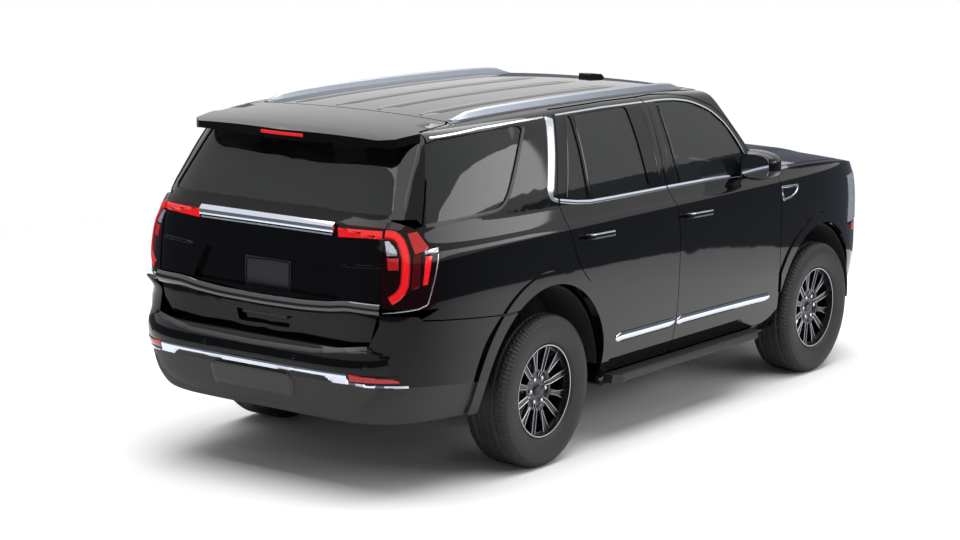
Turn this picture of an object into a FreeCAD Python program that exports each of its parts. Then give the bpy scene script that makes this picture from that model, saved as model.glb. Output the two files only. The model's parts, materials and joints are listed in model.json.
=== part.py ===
import FreeCAD, Part
import math
import os

# Full-size four-door suv, parked on its wheels.
# Frame: +X forward, +Y to the vehicle's left, +Z up.
# Origin: on the ground, at the centre of the overall length and width.

doc = FreeCAD.newDocument("suv")
sheet = doc.addObject("Spreadsheet::Sheet", "Sizes")

SIZES = [
    ("wheelbase", 3071.0),
    ("rear_overhang", 1283.0),
    ("front_overhang", 980.0),
    ("gate_overhang", 1154.5),
    ("body_height", 1943.0),
    ("body_half", 1018.0),
    ("flare_stand_out", 10.5),
    ("track_width", 1740.0),
    ("tyre_radius", 419.0),
    ("tyre_width", 275.0),
    ("bead_radius", 254.0),
    ("rim_wall", 9.0),
    ("hub_radius", 92.0),
    ("spindle_radius", 32.0),
    ("pin_play", 0.5),
    ("seat_play", 0.3),
    ("panel_gap", 6.0),
    ("skin_depth", 52.0),
    ("door_depth", 104.0),
    ("window_frame_depth", 40.0),
    ("glass_inset", 7.0),
    ("glass_thickness", 5.0),
    ("frame_depth", 140.0),
    ("pillar_depth", 100.0),
    ("roof_half", 740.0),
    ("roof_crown", 26.0),
    ("roof_sheet", 22.0),
    ("hood_half", 900.0),
    ("hood_crown", 34.0),
    ("hood_dome", 13.0),
    ("hood_sheet", 24.0),
    ("rear_arch_radius", 560.0),
    ("rear_flare_radius", 636.0),
    ("front_arch_radius", 525.0),
    ("front_flare_radius", 590.0),
    ("arch_rise", 25.0),
    ("gate_depth", 84.0),
    ("gate_gap", 6.0),
    ("seam_gap", 12.0),
    ("spoiler_depth", 46.0),
    ("bumper_wall", 58.0),
    ("lamp_depth", 84.0),
    ("lamp_stand_out", 4.0),
    ("door_axis_depth", 10.0),
    ("door_axis_setback", 30.0),
    ("hinge_pin_radius", 4.0),
    ("hinge_strap", 20.0),
    ("hinge_leaf", 9.0),
    ("pin_radius", 6.0),
    ("floor_height", 480.0),
    ("floor_sheet", 14.0),
    ("floor_half", 743.0),
    ("rail_half", 400.0),
    ("rail_width", 80.0),
    ("rail_depth", 130.0),
    ("rail_base", 340.0),
    ("rail_wall", 8.0),
    ("kingpin_half", 762.0),
    ("kingpin_radius", 15.0),
    ("step_base", 352.0),
    ("step_height", 46.0),
    ("step_half", 1040.0),
    ("step_width", 96.0),
    ("plate_width", 305.0),
    ("plate_height", 152.0),
    ("plate_sheet", 3.0),
    ("plate_screw_spacing", 177.8),
    ("plate_screw_radius", 3.0),
    ("hitch_inner", 51.0),
    ("hitch_wall", 6.5),
    ("rack_width", 42.0),
    ("rack_height", 34.0),
    ("seat_width", 520.0),
    ("bench_width", 1320.0),
    ("cushion_height", 150.0),
    ("cushion_length", 500.0),
    ("backrest_length", 640.0),
    ("backrest_depth", 130.0),
    ("headrest_width", 280.0),
    ("headrest_height", 150.0),
    ("headrest_depth", 90.0),
    ("engine_length", 700.0),
    ("engine_width", 560.0),
    ("engine_height", 560.0),
    ("overrun", 400.0),
]

for row, (alias, value) in enumerate(SIZES, start=1):
    sheet.set("A%d" % row, alias)
    sheet.set("B%d" % row, str(value))
    sheet.setAlias("B%d" % row, alias)
doc.recompute()


class Dimensions:
    pass


dim = Dimensions()
for alias, value in SIZES:
    setattr(dim, alias, float(sheet.get(alias)))

Vec = FreeCAD.Vector
half_length = (dim.wheelbase + dim.rear_overhang + dim.front_overhang) / 2
rear_axle_x = dim.rear_overhang - half_length
front_axle_x = rear_axle_x + dim.wheelbase
middle_x = rear_axle_x + dim.wheelbase / 2
rear_reach = dim.wheelbase / 2 + dim.gate_overhang
bumper_reach = dim.wheelbase / 2 + dim.rear_overhang
front_reach = dim.wheelbase / 2 + dim.front_overhang
wheel_half = dim.track_width / 2
arch_height = dim.tyre_radius + dim.arch_rise


# Stations and heights
# A station share runs -1 at the rear end, 0 and 1 at the axles, 2 at the nose.
def station(share):
    if share < 0:
        return rear_axle_x + share * dim.rear_overhang
    if share > 1:
        return front_axle_x + (share - 1) * dim.front_overhang
    return rear_axle_x + share * dim.wheelbase


def level(share):
    return share * dim.body_height


def side_points(shares):
    return [(station(along), level(up)) for along, up in shares]


# Smooth curve through a table of pairs, for a roof line or a hood line.
def smooth_value(table, at):
    if at <= table[0][0]:
        return table[0][1]
    if at >= table[-1][0]:
        return table[-1][1]
    for i in range(len(table) - 1):
        if table[i][0] <= at <= table[i + 1][0]:
            break
    x0, z0 = table[i]
    x1, z1 = table[i + 1]
    span = x1 - x0

    def slope(k):
        low = max(k - 1, 0)
        high = min(k + 1, len(table) - 1)
        return (table[high][1] - table[low][1]) / (table[high][0] - table[low][0])

    t = (at - x0) / span
    return (
        z0 * (1 + 2 * t) * (1 - t) ** 2
        + slope(i) * span * t * (1 - t) ** 2
        + z1 * t * t * (3 - 2 * t)
        + slope(i + 1) * span * t * t * (t - 1)
    )


# Solids with straight sides, from an outline with rounded corners
def rounded_wire(points, radius, place):
    if radius <= 0:
        corners = [place(a, b) for a, b in points]
        return Part.makePolygon(corners + corners[:1])
    edges = []
    arcs = []
    count = len(points)
    for i in range(count):
        before = points[i - 1]
        here = points[i]
        after = points[(i + 1) % count]
        u = (before[0] - here[0], before[1] - here[1])
        w = (after[0] - here[0], after[1] - here[1])
        lu = math.hypot(*u)
        lw = math.hypot(*w)
        u = (u[0] / lu, u[1] / lu)
        w = (w[0] / lw, w[1] / lw)
        cosine = max(-1.0, min(1.0, u[0] * w[0] + u[1] * w[1]))
        half = math.acos(cosine) / 2
        if math.pi / 2 - half < 0.02:
            arcs.append((here, None, here))
            continue
        reach = min(radius / math.tan(half), 0.45 * lu, 0.45 * lw)
        swing = reach * math.tan(half)
        bis = (u[0] + w[0], u[1] + w[1])
        lb = math.hypot(*bis)
        centre = (
            here[0] + bis[0] / lb * swing / math.sin(half),
            here[1] + bis[1] / lb * swing / math.sin(half),
        )
        middle = (centre[0] - bis[0] / lb * swing, centre[1] - bis[1] / lb * swing)
        start = (here[0] + u[0] * reach, here[1] + u[1] * reach)
        end = (here[0] + w[0] * reach, here[1] + w[1] * reach)
        arcs.append((start, middle, end))
    for i in range(count):
        start, middle, end = arcs[i]
        if middle is not None:
            edges.append(Part.Arc(place(*start), place(*middle), place(*end)).toShape())
        edges.append(Part.makeLine(place(*end), place(*arcs[(i + 1) % count][0])))
    return Part.Wire(edges)


def prism_y(points, y_low, y_high, radius=0):
    wire = rounded_wire(points, radius, lambda a, b: Vec(a, y_low, b))
    return Part.Face(wire).extrude(Vec(0, y_high - y_low, 0))


def prism_x(points, x_low, x_high, radius=0):
    wire = rounded_wire(points, radius, lambda a, b: Vec(x_low, a, b))
    return Part.Face(wire).extrude(Vec(x_high - x_low, 0, 0))


def prism_z(points, z_low, z_high, radius=0):
    wire = rounded_wire(points, radius, lambda a, b: Vec(a, b, z_low))
    return Part.Face(wire).extrude(Vec(0, 0, z_high - z_low))


def block(x_low, x_high, y_low, y_high, z_low, z_high):
    size = (x_high - x_low, y_high - y_low, z_high - z_low)
    return Part.makeBox(size[0], size[1], size[2], Vec(x_low, y_low, z_low))


def rod(start, end, radius):
    axis = end - start
    return Part.makeCylinder(radius, axis.Length, start, axis)


def mirrored(shape):
    return shape.mirror(Vec(0, 0, 0), Vec(0, 1, 0))


def both(shape):
    return shape.fuse(mirrored(shape)).removeSplitter()


def pair(shape):
    return Part.makeCompound([shape, mirrored(shape)])


# Body surface
# Each level: height, half width, rear reach, front reach, share of the roof's drop.
body_level_shares = [
    (0.1493, 0.8527, 0.9665, 0.9461, 0.0),
    (0.175, 0.889, 0.9814, 0.966, 0.0),
    (0.2059, 0.9234, 0.9926, 0.9819, 0.0),
    (0.2419, 0.9489, 0.9981, 0.9938, 0.0),
    (0.2779, 0.9666, 1.0, 0.9986, 0.0),
    (0.3191, 0.9804, 1.0, 0.9998, 0.0),
    (0.3706, 0.9902, 1.0, 0.9986, 0.0),
    (0.4323, 0.9961, 1.0007, 0.993, 0.0),
    (0.4941, 0.999, 1.0026, 0.9875, 0.0),
    (0.5455, 1.0, 1.003, 0.9835, 0.0),
    (0.5919, 0.9951, 1.0015, 0.9787, 0.0),
    (0.6279, 0.9862, 0.9993, 0.9724, 0.0),
    (0.6526, 0.9764, 0.997, 0.9652, 0.0),
    (0.665, 0.9686, 0.9959, 0.96, 0.0),
    (0.6773, 0.9548, 0.9948, 0.9541, 0.0),
    (0.6948, 0.942, 0.9929, 0.9481, 0.0),
    (0.718, 0.9283, 0.9896, 0.9422, 0.02),
    (0.7411, 0.9185, 0.9784, 0.9422, 0.05),
    (0.772, 0.9047, 0.9651, 0.9422, 0.1),
    (0.8235, 0.8772, 0.9435, 0.9422, 0.2),
    (0.8749, 0.8458, 0.9219, 0.9422, 0.3),
    (0.9213, 0.8114, 0.9026, 0.9422, 0.45),
    (0.9444, 0.7917, 0.8933, 0.9422, 0.55),
    (0.9583, 0.7741, 0.8885, 0.9422, 0.65),
    (0.9676, 0.7515, 0.8848, 0.9422, 0.75),
    (0.9732, 0.722, 0.8818, 0.9422, 0.85),
    (0.9763, 0.6876, 0.8796, 0.9422, 0.95),
]
# Each level of the rear bumper: height, half width, rear reach, squareness of the plan.
bumper_level_shares = [
    (0.2033, 0.9234, 0.9544, 6.3),
    (0.2265, 0.9509, 0.9714, 6.3),
    (0.2573, 0.9705, 0.9821, 6.3),
    (0.2882, 0.9823, 0.9878, 6.3),
    (0.3191, 0.9892, 0.9934, 6.3),
    (0.3551, 0.9921, 1.0, 6.4),
    (0.3834, 0.9931, 0.9977, 6.6),
    (0.4004, 0.9941, 0.9899, 6.8),
    (0.4117, 0.9951, 0.9821, 7.0),
    (0.4323, 0.9961, 0.9704, 7.6),
    (0.4581, 0.998, 0.9608, 8.2),
    (0.4786, 0.999, 0.9572, 8.5),
    (0.5147, 0.9994, 0.9572, 8.5),
]
# Shares round a quarter of the plan, close together at the corner.
quarter_shares = [
    0, 0.2, 0.4, 0.55, 0.68, 0.78, 0.86, 0.92, 0.97,
    1.0, 1.03, 1.08, 1.14, 1.22, 1.32, 1.45, 1.6, 1.8,
]
rear_squareness = 8.5
front_squareness = 5.5
roof_line_shares = [
    (-0.8075, 0.9449), (-0.714, 0.9563), (-0.5581, 0.9676), (-0.2931, 0.9784), (0.0274, 0.9861),
    (0.2227, 0.9892), (0.4181, 0.9871), (0.5484, 0.982), (0.6548, 0.9717), (0.6981, 0.9635),
]
roof_line = side_points(roof_line_shares)
roof_peak = max(up for along, up in roof_line)
hood_line_shares = [
    (0.7958, 0.7082), (0.8577, 0.7144), (0.9391, 0.7133), (1.1153, 0.7061), (1.4214, 0.6927),
    (1.6255, 0.6783), (1.7684, 0.6598), (1.8602, 0.6382), (1.9316, 0.6125),
]
hood_line = side_points(hood_line_shares)


def roof_drop(x):
    return smooth_value(roof_line, x) - roof_peak


def corner(share, squareness):
    a = min(1.0, 2 - share)
    b = min(1.0, share)
    size = (a**squareness + b**squareness) ** (-1 / squareness)
    return a * size, b * size


def body_point(around, row, inset):
    up, half, rear, front, drop = row
    if around <= 2:
        a, b = corner(around, rear_squareness)
        x = middle_x - (rear * rear_reach - inset) * a
    else:
        a, b = corner(4 - around, front_squareness)
        x = middle_x + (front * front_reach - inset) * a
    return Vec(x, -(half * dim.body_half - inset) * b, level(up) + drop * roof_drop(x))


def bumper_point(around, row, inset):
    up, half, rear, squareness = row
    a, b = corner(around, squareness)
    x = middle_x - (rear * bumper_reach - inset) * a
    return Vec(x, -(half * dim.body_half - inset) * b, level(up))


def grid_face(rows):
    surface = Part.BSplineSurface()
    surface.interpolate(rows)
    return surface.toShape()


def shell_between(outer, inner):
    faces = [outer, inner]
    for a, b in zip(outer.Edges, inner.Edges):
        faces.append(Part.makeRuledSurface(a, b))
    shell = Part.makeShell(faces)
    shell.sewShape()
    solid = Part.makeSolid(shell)
    if solid.Volume < 0:
        solid.reverse()
    return solid


around_shares = quarter_shares + [2] + [4 - share for share in reversed(quarter_shares)]
skins = {}


def body_face(inset):
    if inset not in skins:
        rows = [[body_point(u, row, inset) for row in body_level_shares] for u in around_shares]
        skins[inset] = grid_face(rows)
    return skins[inset]


# The wall of the body's right side between two depths under its surface
rings = {}


def body_ring(outer, inner):
    key = (outer, inner)
    if key not in rings:
        rings[key] = shell_between(body_face(outer), body_face(inner))
    return rings[key]


def bumper_ring(outer, inner):
    faces = []
    for inset in (outer, inner):
        shares = quarter_shares + [2]
        rows = [[bumper_point(u, row, inset) for row in bumper_level_shares] for u in shares]
        faces.append(grid_face(rows))
    return shell_between(faces[0], faces[1])


def body_half_at(x, z):
    share = min(0.999, abs(x - middle_x) / (front_reach if x > middle_x else rear_reach))
    table = [(level(row[0]), row[1] * dim.body_half) for row in body_level_shares]
    squareness = front_squareness if x > middle_x else rear_squareness
    return smooth_value(table, z) * (1 - share**squareness) ** (1 / squareness)


# What a sheet leaves inside the body's surface, down to a depth on both sides
def inside_of(sheet_solid, inset):
    outside = body_ring(-dim.overrun / 2, inset)
    left = sheet_solid.cut([outside, mirrored(outside)])
    return max(left.Solids, key=lambda solid: solid.Volume)


def roof_height(x, y):
    return smooth_value(roof_line, x) - dim.roof_crown * (abs(y) / dim.roof_half) ** 2.2


def hood_height(x, y):
    side = min(1.0, abs(y) / dim.hood_half)
    rise = min(1.0, max(0.0, (0.60 - side) / 0.14))
    dome = dim.hood_dome * rise * rise * (3 - 2 * rise)
    fade = min(1.0, max(0.0, (hood_line[-2][0] - x) / dim.overrun))
    return smooth_value(hood_line, x) - dim.hood_crown * side**2.5 + dome * fade


def height_slab(height, xs, ys, thickness):
    rows = [[Vec(x, y, height(x, y)) for y in ys] for x in xs]
    return grid_face(rows).extrude(Vec(0, 0, -thickness))


def spread(low, high, count):
    return [low + (high - low) * k / (count - 1) for k in range(count)]


parts = {}


def add_shape(name, shape):
    holder = doc.addObject("Part::Feature", name)
    holder.Label = name
    holder.Shape = shape
    holder.Placement = FreeCAD.Placement()
    parts[name] = holder
    return holder


def add_pair(name, right):
    add_shape(name + "_right", right)
    add_shape(name + "_left", mirrored(right))


far = dim.overrun * 3
low_wall = -far
front_wheel_x = front_axle_x
rear_wheel_x = rear_axle_x

# Outlines in side view
front_door_shares = [
    (0.8483, 0.21), (0.8434, 0.247), (0.8352, 0.2882), (0.8219, 0.4117), (0.818, 0.5147),
    (0.8173, 0.597), (0.8238, 0.6845), (0.7893, 0.702), (0.7372, 0.7205), (0.7112, 0.8003),
    (0.6754, 0.8688), (0.633, 0.9182), (0.5679, 0.9532), (0.5093, 0.9655), (0.4572, 0.9696),
    (0.3976, 0.9696), (0.4018, 0.947), (0.4077, 0.7205), (0.4246, 0.6613), (0.4311, 0.3294),
    (0.4344, 0.21),
]
rear_door_shares = [
    (0.4324, 0.21), (0.4292, 0.3294), (0.4227, 0.6613), (0.4057, 0.7205), (0.3999, 0.947),
    (0.3956, 0.9696), (0.2879, 0.9707), (0.1055, 0.9696), (0.0996, 0.9614), (0.0475, 0.7488),
    (0.0488, 0.7308), (0.0593, 0.6711), (0.0762, 0.5754), (0.1022, 0.525), (0.1283, 0.4889),
    (0.1641, 0.4354), (0.1934, 0.3654), (0.2071, 0.2985), (0.2091, 0.21),
]
front_window_shares = [
    (0.4422, 0.7174), (0.7079, 0.6984), (0.7229, 0.7226), (0.6988, 0.7905), (0.663, 0.8585),
    (0.62, 0.9058), (0.5598, 0.9377), (0.5063, 0.9501), (0.4305, 0.9532),
]
rear_window_shares = [(0.3491, 0.7195), (0.3325, 0.9542), (0.1599, 0.9532), (0.155, 0.7226)]
rear_vent_shares = [
    (0.1433, 0.7236), (0.1465, 0.9521), (0.1374, 0.9511), (0.0762, 0.7391), (0.086, 0.7247),
]
quarter_window_shares = [
    (-0.0008, 0.946), (-0.2541, 0.7524), (-0.2775, 0.7401), (-0.3242, 0.7355), (-0.7264, 0.7267),
    (-0.5892, 0.9264), (-0.5425, 0.9346), (-0.2463, 0.9449),
]
side_frame_shares = [
    (-0.7334, 0.7277), (-0.5768, 0.9346), (-0.5659, 1.0808), (0.633, 1.0808), (0.6386, 0.9614),
    (0.6838, 0.8646), (0.719, 0.7967), (0.7682, 0.7128), (0.8219, 0.701), (0.8219, 0.6922),
    (0.8076, 0.6794), (0.8076, 0.2573), (0.8401, 0.2038), (0.8434, 0.1817), (0.2227, 0.1817),
    (0.0, 0.2285), (-0.3772, 0.4689), (-0.7942, 0.4905), (-0.7217, 0.5147), (-0.7397, 0.5332),
    (-0.6968, 0.6598), (-0.7732, 0.7205),
]
fender_shares = [
    (0.8509, 0.2069), (0.846, 0.247), (0.8375, 0.2882), (0.8242, 0.4117), (0.8199, 0.5147),
    (0.8193, 0.597), (0.8258, 0.6855), (0.8238, 0.6958), (0.8238, 0.8749), (1.8969, 0.8749),
    (1.8969, 0.6289), (1.4592, 0.6289), (1.4531, 0.6227), (1.4531, 0.4663), (1.5439, 0.4529),
    (1.0, 0.2285), (0.8509, 0.1544),
]
lamp_side_shares = [
    (-1.0257, 0.5178), (-0.7264, 0.5178), (-0.7443, 0.5332), (-0.7015, 0.6598), (-0.7779, 0.7247),
    (-0.8231, 0.7401), (-1.0257, 0.7422),
]
finisher_line_shares = [
    (-0.9478, 0.7442), (-0.7482, 0.7442), (-0.7381, 0.7308), (-0.5814, 0.9377), (-0.5814, 0.947),
    (-0.5814, 1.0808), (-0.9478, 1.0808),
]

front_door_outline = side_points(front_door_shares)
rear_door_outline = side_points(rear_door_shares)
front_window = side_points(front_window_shares)
rear_window = side_points(rear_window_shares)
rear_vent = side_points(rear_vent_shares)
quarter_window = side_points(quarter_window_shares)
corner_radius = dim.panel_gap * 4
belt = level(0.7190)
front_arch = Vec(front_wheel_x, 0, arch_height)
rear_arch = Vec(rear_wheel_x, 0, arch_height)


def side_prism(points, radius=0):
    return prism_y(points, low_wall, 0, radius)


def arch_drum(centre, radius, y_low=None, y_high=0):
    start = Vec(centre.x, low_wall if y_low is None else y_low, centre.z)
    return rod(start, Vec(centre.x, y_high, centre.z), radius)


# Flare: a raised lip round the wheel opening
def arch_flare(centre, opening, outer):
    lip = body_ring(-dim.flare_stand_out, dim.panel_gap)
    band = arch_drum(centre, outer).cut(arch_drum(centre, opening))
    return lip.common(band)


# Outlines moved out or in by a clearance
def grown_prism(points, amount):
    face = Part.Face(Part.makePolygon([Vec(a, 0, b) for a, b in points + points[:1]]))
    wide = face.makeOffset2D(amount, 2, False, False, False)
    return Part.Face(wide.OuterWire).extrude(Vec(0, low_wall, 0))


def shrunk(points, amount):
    face = Part.Face(Part.makePolygon([Vec(a, 0, b) for a, b in points + points[:1]]))
    small = face.makeOffset2D(-amount, 2, False, False, False)
    return [(v.Point.x, v.Point.z) for v in small.OuterWire.OrderedVertexes]


# Doors: full depth below the belt, a thin frame round the window above it
def door(outline, windows):
    prism = side_prism(outline, corner_radius)
    below_belt = block(-half_length, half_length, low_wall, 0, 0, belt)
    lower = body_ring(0, dim.skin_depth).common(prism).common(below_belt)
    shift = Vec(dim.panel_gap * 1.5, 0, 0)
    inner_part = body_ring(dim.window_frame_depth, dim.door_depth)
    inner_part = inner_part.common(prism.translated(shift)).common(prism.translated(-shift))
    inner_part = inner_part.common(below_belt)
    upper = body_ring(0, dim.window_frame_depth).common(prism)
    solid = lower.fuse([inner_part, upper]).removeSplitter()
    for window in windows:
        solid = solid.cut(side_prism(window, corner_radius))
    return solid


def door_glass(window):
    ring = body_ring(dim.glass_inset, dim.glass_inset + dim.glass_thickness)
    return ring.common(side_prism(shrunk(window, dim.seat_play), corner_radius - dim.seat_play))


def door_axis(front_x):
    x = front_x - dim.door_axis_setback
    y = -(body_half_at(x, level(0.5455)) - dim.door_axis_depth)
    return x, y


hinge_level_shares = (0.4430, 0.5765)
front_axis = door_axis(front_door_outline[5][0])
rear_axis = door_axis(rear_door_outline[1][0] + dim.panel_gap)


def hinge_parts(axis):
    x, y = axis
    straps = []
    notches = []
    reach = dim.frame_depth + dim.hinge_strap * 2
    for share in hinge_level_shares:
        z = level(share)
        half = dim.hinge_strap / 2
        leaf = dim.hinge_leaf / 2
        pin_half = dim.hinge_strap * 1.5
        pin = rod(Vec(x, y, z - pin_half), Vec(x, y, z + pin_half), dim.hinge_pin_radius)
        strap = block(x - leaf, x + leaf, y, y + reach, z - half, z + half)
        eye = rod(Vec(x, y, z - half), Vec(x, y, z + half), leaf)
        straps.append(strap.fuse([pin, eye]))
        room = dim.hinge_strap
        notch = block(x - room, x + far, y - leaf - dim.pin_play * 1.5, y + far, z - room, z + room)
        bore = rod(
            Vec(x, y, z - pin_half - dim.pin_play),
            Vec(x, y, z + pin_half + dim.pin_play),
            dim.hinge_pin_radius + dim.pin_play,
        )
        notches += [notch, bore]
    return straps, notches


front_straps, front_notches = hinge_parts(front_axis)
rear_straps, rear_notches = hinge_parts(rear_axis)
front_door = door(front_door_outline, [front_window]).cut(front_notches)
rear_door = door(rear_door_outline, [rear_window, rear_vent]).cut(rear_notches)
add_pair("front_door", front_door)
add_pair("rear_door", rear_door)
add_pair("front_door_glass", door_glass(front_window))
rear_panes = [door_glass(window) for window in (rear_window, rear_vent)]
add_pair("rear_door_glass", Part.makeCompound(rear_panes))

# Body side: pillars, roof rail, sill and quarter panel in one wall
lamp_prism = side_prism(side_points(lamp_side_shares))
side_wall = body_ring(0, dim.skin_depth).common(side_prism(side_points(side_frame_shares)))
side_wall = side_wall.cut(block(-far * 4, rear_axle_x, -dim.body_half * 0.73, 0, 0, level(0.745)))
door_gap_cuts = [
    grown_prism(front_door_outline, dim.panel_gap),
    grown_prism(rear_door_outline, dim.panel_gap),
]
side_wall = side_wall.cut(door_gap_cuts)
side_wall = side_wall.cut(
    [side_prism(quarter_window, corner_radius), arch_drum(rear_arch, dim.rear_arch_radius)],
)
under_front_x = front_door_outline[0][0]
sill_top = front_door_outline[0][1] - dim.panel_gap
sill_low = dim.step_base + dim.seat_play
sill_region = block(rear_door_outline[-1][0], under_front_x, low_wall, 0, sill_low, sill_top)
sill = body_ring(0, dim.frame_depth * 1.5).common(sill_region)
inner_wall = body_ring(dim.frame_depth, dim.frame_depth * 1.6)
pillar_shares = [
    (0.3888, 0.1904), (0.4702, 0.1904), (0.4572, 0.6639), (0.4344, 0.7164), (0.4324, 0.736),
    (0.3771, 0.736), (0.3803, 0.7164),
]
upper_pillar_shares = [(0.3823, 0.7221), (0.4311, 0.7221), (0.4214, 0.9779), (0.3725, 0.9779)]
post_shares = [(0.7893, 0.1904), (0.831, 0.1904), (0.831, 0.6845), (0.7893, 0.6922)]
base_shares = [(0.1934, 0.1904), (0.831, 0.1904), (0.831, 0.2419), (0.1934, 0.2419)]
rear_post_shares = [
    (0.1771, 0.1904), (0.2227, 0.1904), (0.125, 0.5147), (0.0762, 0.718), (0.0176, 0.718),
    (0.0664, 0.5147),
]
inner_parts = []
for shares in (pillar_shares, post_shares, base_shares, rear_post_shares):
    inner_parts.append(inner_wall.common(side_prism(side_points(shares))))
upper_pillar = body_ring(dim.window_frame_depth + dim.panel_gap * 2, dim.frame_depth * 1.2)
upper_pillar = upper_pillar.common(side_prism(side_points(upper_pillar_shares)))
rear_shoulder = body_ring(0, dim.frame_depth * 1.6)
rear_shoulder_shares = [(0.0449, 0.7128), (0.0176, 0.7128), (0.0176, 0.7411), (0.0404, 0.7411)]
rear_shoulder = rear_shoulder.common(side_prism(side_points(rear_shoulder_shares)))
top_shares = [(0.086, 0.9743), (0.633, 0.9743), (0.633, 1.0808), (0.086, 1.0808)]
top_beam = body_ring(0, dim.frame_depth).common(side_prism(side_points(top_shares)))
a_pillar_shares = [
    (0.633, 0.9743), (0.6386, 0.9614), (0.6838, 0.8646), (0.719, 0.7967), (0.7682, 0.7128),
    (0.8219, 0.701), (0.8219, 0.6958), (0.7893, 0.7061), (0.7385, 0.7247), (0.7131, 0.8039),
    (0.677, 0.8724), (0.634, 0.9223), (0.5679, 0.9583), (0.5679, 0.9743),
]
a_pillar = body_ring(0, dim.pillar_depth).common(side_prism(side_points(a_pillar_shares)))
a_foot_shares = [(0.7893, 0.6691), (0.8219, 0.6691), (0.8219, 0.701), (0.7682, 0.7128), (0.7633, 0.7061)]
a_foot = body_ring(dim.door_depth + dim.panel_gap * 3, dim.frame_depth * 1.6)
a_foot = a_foot.common(side_prism(side_points(a_foot_shares)))
a_link_shares = [(0.7763, 0.7092), (0.8219, 0.6989), (0.8219, 0.702), (0.7796, 0.7133)]
a_link = body_ring(0, dim.frame_depth * 1.6)
a_link = a_link.common(side_prism(side_points(a_link_shares)))
side_frame = side_wall.fuse(
    [sill, upper_pillar, rear_shoulder, top_beam, a_pillar, a_foot, a_link]
    + inner_parts
    + front_straps
    + rear_straps
)
swing_low = Vec(front_axis[0], front_axis[1], sill_top)
swing_high = Vec(front_axis[0], front_axis[1], sill_top + dim.frame_depth)
front_swing = rod(swing_low, swing_high, dim.door_depth * 2.12)
inner_arch = arch_drum(rear_arch, dim.rear_arch_radius, low_wall, -wheel_half + dim.tyre_width * 0.8)
sweep_reach = wheel_half - dim.kingpin_half + dim.tyre_width / 2
sweep_radius = math.hypot(dim.tyre_radius, sweep_reach) + dim.panel_gap
kingpin = Vec(front_axle_x, -dim.kingpin_half, 0)
tyre_sweep = rod(kingpin, kingpin + Vec(0, 0, dim.tyre_radius * 2), sweep_radius)
side_frame = side_frame.cut([front_swing, inner_arch, tyre_sweep])
flare_region = side_prism(side_points(side_frame_shares)).cut(door_gap_cuts)
rear_flare = arch_flare(rear_arch, dim.rear_arch_radius, dim.rear_flare_radius)
side_frame = side_frame.fuse(rear_flare.common(flare_region))
bumper_room_shares = [
    (-1.1816, 0.0), (0.0, 0.0), (0.0, 0.4689), (-0.3772, 0.4689), (-0.788, 0.4905),
    (-1.1816, 0.5126),
]
side_frame = side_frame.cut(side_prism(side_points(bumper_room_shares)))

# Front fenders
fender_outline = side_points(fender_shares)
fender_prism = side_prism(fender_outline)
below_hood = height_slab(
    hood_height,
    spread(hood_line[0][0], hood_line[-1][0] + dim.panel_gap * 4, 24),
    spread(-dim.body_half * 1.05, dim.body_half * 1.05, 25),
    dim.body_height,
)
fender_skin = body_ring(0, dim.panel_gap * 3).common(fender_prism)
fender_shoulder = body_ring(0, dim.skin_depth).common(fender_prism)
shoulder_region = block(0, far * 3, low_wall, 0, level(0.6300), dim.body_height)
fender = fender_skin.fuse(fender_shoulder.common(shoulder_region)).common(below_hood)
fender = fender.cut(arch_drum(front_arch, dim.front_arch_radius))
fender_lip = arch_flare(front_arch, dim.front_arch_radius, dim.front_flare_radius).common(fender_prism)
fender = fender.fuse(fender_lip)
nose_gap_y = -dim.body_half * 0.605
fender = fender.cut(block(station(1.46), far * 3, nose_gap_y, 0, 0, dim.body_height))
fender = fender.removeSplitter()

# Hood
hood_rear_x = station(0.8350)
hood = height_slab(
    hood_height,
    spread(hood_line[0][0], hood_line[-1][0], 24),
    spread(-dim.body_half * 0.98, dim.body_half * 0.98, 29),
    dim.hood_sheet,
)
hood = hood.cut(block(-far, hood_rear_x, low_wall, far, 0, far * 2))
# The sides lean, so the lower edges need a second gap's room to rise past the fenders' lips
hood_gap = dim.panel_gap * 2
hood = inside_of(hood, dim.skin_depth + hood_gap)
hood_pin_x = hood_rear_x + dim.panel_gap * 5
hood_edge_half = body_half_at(hood_pin_x, level(0.7000)) - dim.skin_depth - dim.panel_gap
hood_pin_z = hood_height(hood_pin_x, hood_edge_half) - dim.hood_sheet / 2
hood_pin_radius = dim.pin_radius
for side in (-1, 1):
    start = Vec(hood_pin_x, side * (hood_edge_half - dim.hinge_strap - dim.pin_play), hood_pin_z)
    end = Vec(hood_pin_x, side * (hood_edge_half + dim.hinge_strap), hood_pin_z)
    hood = hood.cut(rod(start, end, hood_pin_radius + dim.pin_play))
add_shape("hood", hood)
hood_pin = rod(
    Vec(hood_pin_x, -hood_edge_half + dim.hinge_strap, hood_pin_z),
    Vec(hood_pin_x, -hood_edge_half - dim.hinge_strap, hood_pin_z),
    hood_pin_radius,
)
add_shape("front_fenders", pair(fender.fuse(hood_pin)))

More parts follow.
